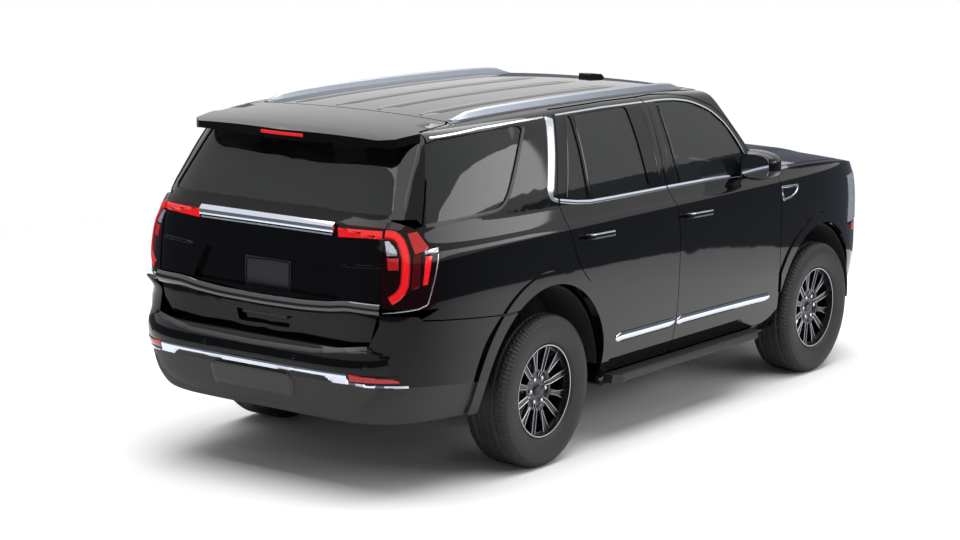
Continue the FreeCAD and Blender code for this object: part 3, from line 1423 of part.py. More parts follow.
rear_axle = axle.fuse([stub, carrier] + plates + arms).removeSplitter()
rear_axle = rear_axle.cut(chassis)
add_shape("rear_axle", rear_axle)

# Front suspension arms and the steering knuckles that they hold
low_arm_z = dim.tyre_radius - dim.bead_radius * 0.60
top_arm_z = dim.tyre_radius + dim.bead_radius * 0.55
arm_half = dim.kingpin_radius * 0.9
eye = dim.kingpin_radius * 2.4


def arm_plate(z):
    outline = [
        (front_axle_x - eye, -dim.kingpin_half),
        (front_axle_x + eye, -dim.kingpin_half),
        (front_axle_x + dim.rail_width * 2.2, -rail_y - dim.rail_width / 2 - dim.seat_play),
        (front_axle_x - dim.rail_width * 2.2, -rail_y - dim.rail_width / 2 - dim.seat_play),
    ]
    plate_solid = prism_z(outline, z - arm_half, z + arm_half)
    ring = rod(
        Vec(front_axle_x, -dim.kingpin_half, z - arm_half),
        Vec(front_axle_x, -dim.kingpin_half, z + arm_half), eye,
    )
    window = prism_z(
        [
            (front_axle_x - eye * 0.5, -dim.kingpin_half + eye * 2),
            (front_axle_x + eye * 0.5, -dim.kingpin_half + eye * 2),
            (front_axle_x + dim.rail_width * 1.3, -rail_y - dim.rail_width),
            (front_axle_x - dim.rail_width * 1.3, -rail_y - dim.rail_width),
        ],
        z - arm_half * 2,
        z + arm_half * 2,
    )
    solid = plate_solid.fuse(ring).cut(window)
    bore = rod(
        Vec(front_axle_x, -dim.kingpin_half, z - arm_half * 2),
        Vec(front_axle_x, -dim.kingpin_half, z + arm_half * 2), dim.kingpin_radius + dim.pin_play,
    )
    return solid.cut(bore)


tower = block(
    front_axle_x - dim.rail_width * 2.2, front_axle_x + dim.rail_width * 2.2,
    -rail_y - dim.rail_width / 2 - dim.seat_play - dim.rail_wall * 2,
    -rail_y - dim.rail_width / 2 - dim.seat_play,
    low_arm_z - arm_half, top_arm_z + arm_half,
)
suspension = arm_plate(low_arm_z).fuse([arm_plate(top_arm_z), tower]).removeSplitter()
suspension = suspension.cut(chassis)
add_shape("front_suspension", pair(suspension))
knuckle_low = low_arm_z + arm_half + dim.seat_play
knuckle_top = top_arm_z - arm_half - dim.seat_play
knuckle_half = dim.kingpin_radius * 2
upright = block(
    front_axle_x - knuckle_half, front_axle_x + knuckle_half,
    -dim.kingpin_half - knuckle_half * 0.8, -dim.kingpin_half + knuckle_half * 0.8,
    knuckle_low, knuckle_top,
)
knuckle_pin = rod(
    Vec(front_axle_x, -dim.kingpin_half, low_arm_z - arm_half),
    Vec(front_axle_x, -dim.kingpin_half, top_arm_z + arm_half),
    dim.kingpin_radius,
)
spindle = rod(
    Vec(front_axle_x, -dim.kingpin_half, axle_z), Vec(front_axle_x, -stub_end, axle_z),
    dim.spindle_radius,
)
backing = rod(
    Vec(front_axle_x, -dim.kingpin_half - knuckle_half * 0.4, axle_z),
    Vec(front_axle_x, -hub_face + dim.rail_width * 0.25, axle_z),
    dim.hub_radius * 1.3,
)
knuckle = upright.fuse([knuckle_pin, spindle, backing]).removeSplitter()
add_pair("steering_knuckle", knuckle)

# Exhaust: a muffler and pipe under the floor
muffler_z = rail_low + dim.rail_width * 0.2
pipe_y = -dim.rail_width * 2
muffler = rod(
    Vec(station(0.18), pipe_y, muffler_z), Vec(station(0.38), pipe_y, muffler_z),
    dim.rail_width * 0.9,
)
pipe = rod(
    Vec(station(0.37), pipe_y, muffler_z), Vec(station(0.80), pipe_y, muffler_z),
    dim.rail_width * 0.38,
)
exhaust = muffler.fuse(pipe)
exhaust = exhaust.cut(chassis)
add_shape("exhaust", exhaust)

# Mirrors, carried on the front doors
mirror_x = station(0.6800)
mirror_low = level(0.7050)
mirror_top = level(0.7890)
mirror_in = -(body_half_at(mirror_x, mirror_low) + dim.panel_gap * 5)
mirror_out = mirror_in - dim.headrest_width * 0.78
mirror_plan = [
    (mirror_x - dim.panel_gap * 5, mirror_in),
    (mirror_x + dim.headrest_depth * 0.9, mirror_in),
    (mirror_x + dim.headrest_depth * 1.1, mirror_in - dim.headrest_depth * 0.6),
    (mirror_x + dim.headrest_depth * 0.5, mirror_out),
    (mirror_x - dim.panel_gap * 8, mirror_out),
]
mirror = prism_z(mirror_plan, mirror_low, mirror_top, dim.panel_gap * 3)
mirror_stalk = block(
    mirror_x - dim.panel_gap * 2, mirror_x + dim.headrest_depth * 0.6,
    mirror_in - dim.panel_gap * 4, -body_half_at(mirror_x, level(0.700)) + dim.overrun * 0.2,
    level(0.6960), mirror_low + dim.panel_gap * 3,
)
mirror = mirror.fuse(mirror_stalk).removeSplitter()
mirror = mirror.cut(front_door).cut(parts["front_door_glass_right"].Shape)
mirror = max(mirror.Solids, key=lambda solid: solid.Volume)
add_pair("mirror", mirror)


# Wheels: a revolved rim with windows, and a revolved tyre on it
def named_plane(body, role):
    for feature in body.Origin.OriginFeatures:
        if feature.Role == role:
            return feature


def closed_sketch(body, name, role, points):
    sketch = body.newObject("Sketcher::SketchObject", name)
    sketch.AttachmentSupport = [(named_plane(body, role), "")]
    sketch.MapMode = "FlatFace"
    count = len(points)
    for i in range(count):
        a = points[i]
        b = points[(i + 1) % count]
        sketch.addGeometry(Part.LineSegment(Vec(a[0], a[1], 0), Vec(b[0], b[1], 0)), False)
    return sketch


half_tyre = dim.tyre_width / 2
tyre_points = [
    (dim.bead_radius + dim.seat_play, -half_tyre * 0.80),
    (dim.bead_radius * 1.20, -half_tyre * 0.96),
    (dim.tyre_radius * 0.84, -half_tyre),
    (dim.tyre_radius * 0.965, -half_tyre * 0.90),
    (dim.tyre_radius, -half_tyre * 0.72),
    (dim.tyre_radius, half_tyre * 0.72),
    (dim.tyre_radius * 0.965, half_tyre * 0.90),
    (dim.tyre_radius * 0.84, half_tyre),
    (dim.bead_radius * 1.20, half_tyre * 0.96),
    (dim.bead_radius + dim.seat_play, half_tyre * 0.80),
]
half_rim = half_tyre * 0.80 - dim.seat_play
face_out = half_rim * 0.72
rim_points = [
    (dim.spindle_radius + dim.pin_play, -dim.rail_width * 0.30),
    (dim.hub_radius, -dim.rail_width * 0.30),
    (dim.hub_radius * 1.15, face_out * 0.62),
    (dim.bead_radius - dim.rim_wall, face_out * 0.80),
    (dim.bead_radius - dim.rim_wall, -half_rim + dim.rim_wall),
    (dim.bead_radius - dim.rim_wall * 0.4, -half_rim),
    (dim.bead_radius, -half_rim),
    (dim.bead_radius, half_rim),
    (dim.bead_radius - dim.rim_wall, half_rim),
    (dim.bead_radius - dim.rim_wall * 1.4, face_out),
    (dim.hub_radius * 1.10, face_out * 0.86),
    (dim.hub_radius, face_out * 0.70),
    (dim.spindle_radius + dim.pin_play, face_out * 0.70),
]


def revolved(name, points):
    body = doc.addObject("PartDesign::Body", name)
    sketch = closed_sketch(body, name + "_section", "XY_Plane", points)
    turn = body.newObject("PartDesign::Revolution", name + "_turn")
    turn.Profile = sketch
    turn.ReferenceAxis = (sketch, ["V_Axis"])
    turn.Angle = 360.0
    doc.recompute()
    return body


spoke_count = 12
wheel_places = {
    "front_right": Vec(front_axle_x, -wheel_half, axle_z),
    "front_left": Vec(front_axle_x, wheel_half, axle_z),
    "rear_right": Vec(rear_axle_x, -wheel_half, axle_z),
    "rear_left": Vec(rear_axle_x, wheel_half, axle_z),
}


def rim_body(name):
    body = revolved(name, rim_points)
    window_in = dim.hub_radius * 1.25
    window_out = dim.bead_radius - dim.rim_wall * 2.2
    spread_in = math.radians(7)
    spread_out = math.radians(11)
    points = [
        (window_in * math.cos(-spread_in), window_in * math.sin(-spread_in)),
        (window_out * math.cos(-spread_out), window_out * math.sin(-spread_out)),
        (window_out * math.cos(spread_out), window_out * math.sin(spread_out)),
        (window_in * math.cos(spread_in), window_in * math.sin(spread_in)),
    ]
    sketch = closed_sketch(body, name + "_window", "XZ_Plane", points)
    doc.recompute()
    before = body.Shape.Volume
    cut = body.newObject("PartDesign::Pocket", name + "_pocket")
    cut.Profile = sketch
    cut.Type = 1
    cut.Midplane = True
    cut.Length = dim.tyre_width
    doc.recompute()
    pattern = body.newObject("PartDesign::PolarPattern", name + "_windows")
    pattern.Originals = [cut]
    pattern.Axis = (sketch, ["N_Axis"])
    pattern.Angle = 360.0
    pattern.Occurrences = spoke_count
    body.Tip = pattern
    doc.recompute()
    if body.Shape.Volume >= before * 0.98:
        raise RuntimeError("the rim's windows cut nothing")
    return body


for place_name, centre in wheel_places.items():
    rim = rim_body("rim_" + place_name)
    rim.Label = "rim_" + place_name
    turn_side = FreeCAD.Rotation(Vec(0, 0, 1), 180 if centre.y < 0 else 0)
    rim.Placement = FreeCAD.Placement(centre, turn_side)
    parts["rim_" + place_name] = rim
    tyre = revolved("tyre_" + place_name, tyre_points)
    tyre.Label = "tyre_" + place_name
    tyre.Placement = FreeCAD.Placement(centre, FreeCAD.Rotation())
    parts["tyre_" + place_name] = tyre

doc.recompute()
faults = []
for item in doc.Objects:
    if "Invalid" in item.State or "Error" in item.State:
        faults.append(item.Name)
for name, item in parts.items():
    if item.Shape.isNull() or not item.Shape.isValid() or not item.Shape.Solids:
        faults.append(name)
if faults:
    raise RuntimeError("failed objects: " + ", ".join(sorted(set(faults))))
os.makedirs("parts", exist_ok=True)
for name, item in parts.items():
    item.Shape.exportStep("parts/" + name + ".step")
    print(name, len(item.Shape.Solids), round(item.Shape.Volume / 1e6, 2))
print("front door axis", front_axis)
print("rear door axis", rear_axis)
print("tailgate axis", gate_pin_x, gate_pin_z)
print("hood axis", hood_pin_x, hood_pin_z)
print("kingpin axis", front_axle_x, dim.kingpin_half)
print("plate screws", recess_back, screw_holes[0].BoundBox.ZMin + dim.plate_screw_radius)
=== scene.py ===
# %% [markdown]
# A large four-door suv, seen from behind and to its right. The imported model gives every
# rigid piece its place. This file dresses it: paint, glass, bright trim, lamps, wheels
# and cabin. All lengths are metres unless a name says mm.

# %% Load the frame
import json
import math
import bpy
import bmesh
import numpy as np
from mathutils import Vector, Matrix
from mathutils.bvhtree import BVHTree


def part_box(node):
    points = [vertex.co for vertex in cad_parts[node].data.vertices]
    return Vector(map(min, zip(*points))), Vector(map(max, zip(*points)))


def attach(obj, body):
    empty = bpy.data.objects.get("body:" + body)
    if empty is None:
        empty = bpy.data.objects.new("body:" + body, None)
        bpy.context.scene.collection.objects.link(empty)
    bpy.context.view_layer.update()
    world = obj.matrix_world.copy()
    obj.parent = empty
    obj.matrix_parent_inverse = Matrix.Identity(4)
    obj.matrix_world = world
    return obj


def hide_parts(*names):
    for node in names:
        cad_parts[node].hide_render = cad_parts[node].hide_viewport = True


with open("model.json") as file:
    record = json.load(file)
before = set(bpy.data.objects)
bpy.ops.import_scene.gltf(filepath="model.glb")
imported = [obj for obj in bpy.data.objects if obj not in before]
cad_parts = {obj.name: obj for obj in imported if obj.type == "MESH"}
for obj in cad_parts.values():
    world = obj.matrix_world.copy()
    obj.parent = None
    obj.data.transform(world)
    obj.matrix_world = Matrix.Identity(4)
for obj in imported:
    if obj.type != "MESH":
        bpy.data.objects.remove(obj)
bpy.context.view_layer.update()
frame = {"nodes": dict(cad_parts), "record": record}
nodes = frame["nodes"]
body_of_node = {}
for body, members in frame["record"]["behaviour"]["bodies"].items():
    for member in members:
        body_of_node[member] = body
slot_of_node = {item["node"]: item["material_slot"] for item in frame["record"]["subparts"]}

# %% [markdown]
# Colours are written as sRGB hex values, and one function turns them to the linear
# numbers that shaders expect. One more function adds a node with its settings and links,
# so every material below reads as a list of its layers.

# %% Colour and node helpers
def hexa(text, alpha=1.0):
    parts = [int(text[i:i + 2], 16) / 255 for i in (0, 2, 4)]
    linear = [c / 12.92 if c <= 0.04045 else ((c + 0.055) / 1.055) ** 2.4 for c in parts]
    return (*linear, alpha)


def add(tree, kind, settings=None, **links):
    node = tree.nodes.new(kind)
    for key, value in (settings or {}).items():
        if isinstance(key, int):
            node.inputs[key].default_value = value
        elif hasattr(node, key):
            setattr(node, key, value)
        else:
            node.inputs[key].default_value = value
    for key, source in links.items():
        numbered = key[0] == "i" and key[1:].isdigit()
        socket = node.inputs[int(key[1:])] if numbered else node.inputs[key.replace("_", " ")]
        tree.links.new(source, socket)
    return node


def finish(name, base, roughness, **sockets):
    material = bpy.data.materials.new(name)
    material.use_nodes = True
    tree = material.node_tree
    tree.nodes.clear()
    out = tree.nodes.new("ShaderNodeOutputMaterial")
    shader = tree.nodes.new("ShaderNodeBsdfPrincipled")
    tree.links.new(shader.outputs[0], out.inputs[0])
    shader.inputs["Base Color"].default_value = hexa(base)
    shader.inputs["Roughness"].default_value = roughness
    for key, value in sockets.items():
        shader.inputs[key.replace("_", " ")].default_value = value
    return material, tree, shader


def grain(tree, shader, size_mm, depth_mm, detail=3.0, stretch=(1, 1, 1)):
    place = add(tree, "ShaderNodeTexCoord")
    turn = add(tree, "ShaderNodeMapping", {"Scale": stretch}, Vector=place.outputs["Object"])
    noise = add(tree, "ShaderNodeTexNoise", {"Scale": 1000 / size_mm, "Detail": detail},
                Vector=turn.outputs[0])
    bump = add(tree, "ShaderNodeBump", {"Strength": 1.0, "Distance": depth_mm / 1000},
               Height=noise.outputs[0])
    tree.links.new(bump.outputs[0], shader.inputs["Normal"])
    return noise


def tone(tree, shader, noise, dark, light, low=0.35, high=0.65, socket="Base Color"):
    ramp = add(tree, "ShaderNodeValToRGB", Fac=noise.outputs[0])
    ramp.color_ramp.elements[0].position = low
    ramp.color_ramp.elements[0].color = dark
    ramp.color_ramp.elements[1].position = high
    ramp.color_ramp.elements[1].color = light
    tree.links.new(ramp.outputs[0], shader.inputs[socket])


# %% [markdown]
# The body is sprayed in black and covered with clear lacquer. The lacquer is a smooth
# dielectric, so it mirrors the studio. A very faint orange-peel waviness, about 6 mm
# across, keeps the mirror from looking like glass.

# %% Paint, glass and trim
paint, tree, shader = finish("black_paint_under_clear_lacquer", "060607", 0.045)
shader.inputs["Specular Tint"].default_value = (0.42, 0.42, 0.44, 1)
grain(tree, shader, 9, 0.0045, 1.0)

gloss_trim, tree, shader = finish("gloss_black_abs_trim", "08080a", 0.08)
shader.inputs["Specular Tint"].default_value = (0.55, 0.55, 0.58, 1)
grain(tree, shader, 5, 0.004, 1.0)

# Side and rear panes: soda-lime glass with a privacy tint, smooth, a little of the cabin shows.
pane, tree, shader = finish("privacy_tinted_glass", "16191a", 0.02, Alpha=0.78)
shader.inputs["Specular Tint"].default_value = (0.9, 0.9, 0.9, 1)
noise = grain(tree, shader, 60, 0.004, 1.0)

# Moulded polypropylene: dull, with a fine pebble grain about 2 mm across.
satin_trim, tree, shader = finish("satin_moulded_polypropylene", "1d1d1f", 0.42)
noise = grain(tree, shader, 2.2, 0.12)
tone(tree, shader, noise, hexa("19191b"), hexa("222224"))

grained_trim, tree, shader = finish("grained_black_polypropylene", "161617", 0.55)
noise = grain(tree, shader, 1.6, 0.15)
tone(tree, shader, noise, hexa("121213"), hexa("1c1c1e"))

# Decorative chrome on plastic: a bright mirror with a slight cool cast.
chrome, tree, shader = finish("plated_chrome", "d3d8e2", 0.07, Metallic=1.0)
noise = grain(tree, shader, 30, 0.002, 1.0)

# Brushed and lacquered aluminium: satin, fine lines along the length.
satin_alloy, tree, shader = finish("satin_anodised_aluminium", "c3c7d0", 0.24, Metallic=1.0)
noise = grain(tree, shader, 1.6, 0.002, 2.0, (0.02, 1, 1))
tone(tree, shader, noise, hexa("b6bac4"), hexa("cdd1da"))

# Roof rails: the same metal, shot-peened duller, so that its flanks go grey.
rail_alloy, tree, shader = finish("peened_anodised_aluminium", "8f949e", 0.33, Metallic=1.0)
noise = grain(tree, shader, 1.4, 0.004, 2.0)
tone(tree, shader, noise, hexa("868b95"), hexa("989da7"))

# The ledge under the plate is polished harder than the rest, so it draws a bright line.
bright_paint, tree, shader = finish("polished_black_lacquer", "0a0a0b", 0.12, Coat_Weight=1.0)
noise = grain(tree, shader, 9, 0.003, 1.0)

# Machined wheel faces: bright turned aluminium under lacquer.
machined, tree, shader = finish("machined_wheel_aluminium", "a4a6ab", 0.26, Metallic=1.0)
noise = grain(tree, shader, 1.2, 0.01, 2.0)
tone(tree, shader, noise, hexa("9a9ca2"), hexa("b2b4b9"))
wheel_dark, tree, shader = finish("dark_grey_wheel_enamel", "0f1013", 0.25)
noise = grain(tree, shader, 2.0, 0.01)
tone(tree, shader, noise, hexa("0b0c0e"), hexa("141518"))

# Tyre: vulcanised rubber with carbon black, dull, slightly dusty on the high spots.
rubber, tree, shader = finish("tyre_rubber", "121213", 0.6)
noise = grain(tree, shader, 4.0, 0.12)
tone(tree, shader, noise, hexa("0e0e0f"), hexa("171718"))

# Acrylic lamp lenses.
red_lens, tree, shader = finish("dark_red_acrylic_lens", "4a0508", 0.06)
shader.inputs["Specular Tint"].default_value = (0.5, 0.45, 0.45, 1)
noise = grain(tree, shader, 6.0, 0.02)
tone(tree, shader, noise, hexa("3a0306"), hexa("5a070c"))
light_guide, tree, shader = finish("lit_red_light_guide", "d80f14", 0.12, Emission_Strength=0.3)
shader.inputs["Emission Color"].default_value = hexa("ff1418")
noise = grain(tree, shader, 8.0, 0.03)
tone(tree, shader, noise, hexa("c00b10"), hexa("e6161b"))
# Red acrylic with a faint emission of its own: on the lamp guides it is lamp light, and on the reflectors,
# which are no lamps, it is a painted glow.
glowing_red, tree, shader = finish("red_acrylic_over_reflector", "9c1016", 0.1, Emission_Strength=0.08)
shader.inputs["Emission Color"].default_value = hexa("ff2020")
noise = grain(tree, shader, 5.0, 0.03)
tone(tree, shader, noise, hexa("860b10"), hexa("b8181d"))
clear_lens, tree, shader = finish("clear_acrylic_over_reflector", "b9bdc4", 0.12, Metallic=0.6)
noise = grain(tree, shader, 7.0, 0.08)
tone(tree, shader, noise, hexa("9da2aa"), hexa("d4d8de"))
amber_lens, tree, shader = finish("amber_acrylic_lens", "d8571c", 0.12, Emission_Strength=0.1)
shader.inputs["Emission Color"].default_value = hexa("ff6a20")
noise = grain(tree, shader, 5.0, 0.03)
tone(tree, shader, noise, hexa("c24a14"), hexa("e8682c"))

# Seat hide: black leather with pores about 1.5 mm apart.
hide, tree, shader = finish("black_seat_hide", "1c1a19", 0.48)
place = add(tree, "ShaderNodeTexCoord")
pores = add(tree, "ShaderNodeTexVoronoi", {"Scale": 1000 / 2.4}, Vector=place.outputs["Object"])
bump = add(tree, "ShaderNodeBump", {"Strength": 0.6, "Distance": 0.0004}, Height=pores.outputs["Distance"])
tree.links.new(bump.outputs[0], shader.inputs["Normal"])
tone(tree, shader, pores, hexa("161413"), hexa("24211f"), 0.1, 0.7)

# Painted steel under the floor: dull black with a mottled film of road dust.
chassis_paint, tree, shader = finish("black_chassis_paint", "141414", 0.6)
noise = grain(tree, shader, 14, 0.1)
tone(tree, shader, noise, hexa("101010"), hexa("1e1d1c"))
carpet, tree, shader = finish("black_cabin_carpet", "151414", 0.95)
noise = grain(tree, shader, 1.5, 0.5)
tone(tree, shader, noise, hexa("0f0e0e"), hexa("1d1b1b"))
cast, tree, shader = finish("cast_aluminium", "8c8e90", 0.5, Metallic=1.0)
noise = grain(tree, shader, 3, 0.1)
mirror_glass, tree, shader = finish("silvered_mirror_glass", "d8dade", 0.03, Metallic=1.0)
noise = grain(tree, shader, 80, 0.002, 1.0)
print("materials", len(bpy.data.materials))

# %% [markdown]
# Every outer panel of the body lies on one smooth surface: level by level a half width,
# a reach to the rear and to the front, joined by a squarish oval. The CAD model cuts its
# panels from it. The same table here gives exact normals, so that reflections run over
# the panels without the facets of the tessellation, and it places trim on the surface.

# %% The body surface
LEVELS = np.array([
    (290, 868, 2600, 2380, 0), (340, 905, 2640, 2430, 0), (400, 940, 2670, 2470, 0), (470, 966, 2685, 2500,
                                                                                      0),
    (540, 984, 2690, 2512, 0), (620, 998, 2690, 2515, 0), (720, 1008, 2690, 2512, 0), (840, 1014, 2692, 2498,
                                                                                       0),
    (960, 1017, 2697, 2484, 0), (1060, 1018, 2698, 2474, 0), (1150, 1013, 2694, 2462, 0),
    (1220, 1004, 2688, 2446, 0), (1268, 994, 2682, 2428, 0), (1292, 986, 2679, 2415, 0),
    (1316, 972, 2676, 2400, 0), (1350, 959, 2671, 2385, 0), (1395, 945, 2662, 2370, 0.02),
    (1440, 935, 2632, 2370, 0.05), (1500, 921, 2596, 2370, 0.1), (1600, 893, 2538, 2370, 0.2),
    (1700, 861, 2480, 2370, 0.3), (1790, 826, 2428, 2370, 0.45), (1835, 806, 2403, 2370, 0.55),
    (1862, 788, 2390, 2370, 0.65), (1880, 765, 2380, 2370, 0.75), (1891, 735, 2372, 2370, 0.85),
    (1897, 700, 2366, 2370, 0.95)]) / (1000, 1000, 1000, 1000, 1)
BUMPER = np.array([
    (395, 940, 2690, 6.3), (440, 968, 2738, 6.3), (500, 988, 2768, 6.3), (560, 1000, 2784, 6.3),
    (620, 1007, 2800, 6.3), (690, 1010, 2818.5, 6.4), (745, 1011, 2812, 6.6), (778, 1012, 2790, 6.8),
    (800, 1013, 2768, 7.0), (840, 1014, 2735, 7.6), (890, 1016, 2708, 8.2), (930, 1017, 2698, 8.5),
    (1000, 1017.4, 2698, 8.5)]) / (1000, 1000, 1000, 1)
ROOF = np.array([
    (-2420, 1836), (-2300, 1858), (-2100, 1880), (-1760, 1901), (-1300, 1916), (-700, 1922),
    (-100, 1918), (300, 1908), (627, 1888), (760, 1872)]) / 1000
HOOD = np.array([
    (1060, 1376), (1250, 1388), (1500, 1386), (1800, 1372), (2100, 1346), (2300, 1318), (2440, 1282),
    (2530, 1240), (2600, 1190)]) / 1000
MID_X = 0.1515
REAR_N, FRONT_N = 8.5, 5.5


def smooth_table(xs, ys, step=0.001):
    slope = np.empty(len(xs))
    slope[1:-1] = (ys[2:] - ys[:-2]) / (xs[2:] - xs[:-2])
    slope[0] = (ys[1] - ys[0]) / (xs[1] - xs[0])
    slope[-1] = (ys[-1] - ys[-2]) / (xs[-1] - xs[-2])
    at = np.arange(xs[0], xs[-1] + step / 2, step)
    k = np.clip(np.searchsorted(xs, at, side="right") - 1, 0, len(xs) - 2)
    span = xs[k + 1] - xs[k]
    t = (at - xs[k]) / span
    value = (ys[k] * (1 + 2 * t) * (1 - t) ** 2 + slope[k] * span * t * (1 - t) ** 2
             + ys[k + 1] * t * t * (3 - 2 * t) + slope[k + 1] * span * t * t * (t - 1))
    return lambda where: np.interp(where, at, value)


half_at, rear_at, front_at, drop_at = [smooth_table(LEVELS[:, 0], LEVELS[:, k]) for k in (1, 2, 3, 4)]
bump_half, bump_reach, bump_n = [smooth_table(BUMPER[:, 0], BUMPER[:, k]) for k in (1, 2, 3)]
roof_at = smooth_table(ROOF[:, 0], ROOF[:, 1])
hood_at = smooth_table(HOOD[:, 0], HOOD[:, 1])
ROOF_PEAK = ROOF[:, 1].max()


def base_level(x, z):
    s = np.array(z, dtype=float)
    for _ in range(25):
        s = z - drop_at(s) * (roof_at(x) - ROOF_PEAK)
    return s


def side_y(x, z, out=0.0):
    s = base_level(x, z)
    reach = np.where(np.asarray(x) < MID_X, rear_at(s), front_at(s)) + out
    n = np.where(np.asarray(x) < MID_X, REAR_N, FRONT_N)
    share = np.clip(np.abs(x - MID_X) / reach, 0, 1)
    return -(half_at(s) + out) * (1 - share ** n) ** (1 / n)


def end_x(y, z, sign, out=0.0):
    x = np.full(np.shape(z), MID_X + sign * 2.5)
    n = REAR_N if sign < 0 else FRONT_N
    for _ in range(8):
        s = base_level(x, z)
        reach = (rear_at(s) if sign < 0 else front_at(s)) + out
        share = np.clip(np.abs(y) / (half_at(s) + out), 0, 1)
        x = MID_X + sign * reach * (1 - share ** n) ** (1 / n)
    return x


def bumper_x(y, z, out=0.0):
    n = bump_n(z)
    share = np.clip(np.abs(y) / (bump_half(z) + out), 0, 1)
    return MID_X - (bump_reach(z) + out) * (1 - share ** n) ** (1 / n)


def roof_z(x, y):
    return roof_at(x) - 0.026 * (np.abs(y) / 0.740) ** 2.2


def hood_z(x, y):
    side = np.minimum(1, np.abs(y) / 0.900)
    rise = np.clip((0.60 - side) / 0.14, 0, 1)
    dome = 0.013 * rise * rise * (3 - 2 * rise)
    fade = np.clip((HOOD[-2, 0] - x) / 0.4, 0, 1)
    return hood_at(x) - 0.034 * side ** 2.5 + dome * fade


def body_field(p):
    x, y, z = p[:, 0], p[:, 1], p[:, 2]
    s = base_level(x, z)
    reach = np.where(x < MID_X, rear_at(s), front_at(s))
    n = np.where(x < MID_X, REAR_N, FRONT_N)
    return ((np.abs(x - MID_X) / reach) ** n + (np.abs(y) / half_at(s)) ** n) ** (1 / n) - 1


def bumper_field(p):
    x, y, z = p[:, 0], p[:, 1], p[:, 2]
    n = bump_n(z)
    return ((np.abs(x - MID_X) / bump_reach(z)) ** n + (np.abs(y) / bump_half(z)) ** n) ** (1 / n) - 1


def roof_field(p):
    return p[:, 2] - roof_z(p[:, 0], p[:, 1])


def hood_field(p):
    return p[:, 2] - hood_z(p[:, 0], p[:, 1])


def field_normal(field, p):
    e = 0.004
    g = np.empty_like(p)
    for axis in range(3):
        step = np.zeros(3)
        step[axis] = e
        g[:, axis] = field(p + step) - field(p - step)
    return g / np.maximum(np.linalg.norm(g, axis=1, keepdims=True), 1e-12)


print("half width at door height", round(float(-side_y(0.5, 1.06)), 4))

# %% [markdown]
# A painted node's mesh is never changed. Its copy is merged, and each face that lies
# along the body surface takes its normals from the surface itself. Faces at the panel's
# edges keep their own, so shut lines stay crisp.

# %% Polished copies of the painted panels
def link(obj):
    bpy.context.scene.collection.objects.link(obj)
    return obj


def finish_piece(obj, body, replaced=()):
    if replaced:
        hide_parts(*replaced)
    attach(obj, body)
    return obj


def copy_of(node, name):
    source = nodes[node]
    mesh = source.data.copy()
    mesh.transform(source.matrix_world)
    mesh.name = name
    obj = link(bpy.data.objects.new(name, mesh))
    bm = bmesh.new()
    bm.from_mesh(mesh)
    bmesh.ops.remove_doubles(bm, verts=bm.verts, dist=0.00002)
    bm.to_mesh(mesh)
    bm.free()
    return obj


def cut_plane(obj, point, normal):
    bm = bmesh.new()
    bm.from_mesh(obj.data)
    bmesh.ops.bisect_plane(bm, geom=bm.verts[:] + bm.edges[:] + bm.faces[:], plane_co=point, plane_no=normal,
                           dist=1e-6)
    bm.to_mesh(obj.data)
    bm.free()


def polish(obj, fields, angle=32, fallback_angle=35):
    mesh = obj.data
    for attribute in ("custom_normal", "sharp_face", "sharp_edge"):
        if attribute in mesh.attributes:
            mesh.attributes.remove(mesh.attributes[attribute])
    mesh.shade_smooth()
    mesh.set_sharp_from_angle(angle=math.radians(fallback_angle))
    count = len(mesh.loops)
    corner = np.empty(count * 3)
    mesh.corner_normals.foreach_get("vector", corner)
    corner = corner.reshape(-1, 3)
    points = np.empty(len(mesh.vertices) * 3)
    mesh.vertices.foreach_get("co", points)
    points = points.reshape(-1, 3)
    owner = np.empty(count, dtype=np.int32)
    mesh.loops.foreach_get("vertex_index", owner)
    face_normal = np.empty(len(mesh.polygons) * 3)
    mesh.polygons.foreach_get("normal", face_normal)
    face_normal = face_normal.reshape(-1, 3)
    sizes = np.empty(len(mesh.polygons), dtype=np.int32)
    mesh.polygons.foreach_get("loop_total", sizes)
    of_face = np.repeat(np.arange(len(mesh.polygons)), sizes)
    limit = math.cos(math.radians(angle))
    for field in fields:
        exact = field_normal(field, points)[owner]
        agree = np.sum(exact * face_normal[of_face], axis=1)
        near = np.abs(field(points))[owner]
        along = (agree > limit) & (near < 0.02)
        corner[along] = exact[along]
        inner = (agree < -limit) & (near < 0.3)
        corner[inner] = -exact[inner]
    mesh.normals_split_custom_set(corner.tolist())
    return obj


painted = {
    "front_door_right": [body_field], "front_door_left": [body_field],
    "rear_door_right": [body_field], "rear_door_left": [body_field],
    "body_side_right": [body_field], "body_side_left": [body_field],
    "front_fenders": [body_field], "front_bumper": [body_field],
    "tailgate": [roof_field, body_field], "roof_panel": [roof_field],
    "hood": [hood_field], "nose_panel": [hood_field, body_field],
}
glazed = {
    "tailgate_glass": pane, "front_door_glass_right": pane, "front_door_glass_left": pane,
    "rear_door_glass_right": pane, "rear_door_glass_left": pane,
}
skins = {}
for node, fields in painted.items():
    skin = copy_of(node, node + "_paint")
    if "side" in node or "door" in node or "fender" in node:
        for z in np.arange(1.245, 1.352, 0.006):
            cut_plane(skin, (0, 0, float(z)), (0, 0, 1))
    skin = polish(skin, fields, 50 if "side" in node else 32)
    skin.data.materials.clear()
    skin.data.materials.append(paint)
    skins[node] = finish_piece(skin, body_of_node[node], [node])
for node, material in glazed.items():
    skin = polish(copy_of(node, node + "_clear"), [body_field], 50)
    skin.data.materials.clear()
    skin.data.materials.append(material)
    skins[node] = finish_piece(skin, body_of_node[node], [node])
print("painted and glazed pieces", len(skins))

# %% [markdown]
# Trim lies on the body surface, so two makers do most of it. A sweep carries a small
# section along a line of points, with the section's height along the surface normal. A
# patch fills an outline, is sliced into a fine grid so that it can bend, and is laid on
# the surface with a soft edge. Mirrored copies serve the left side.

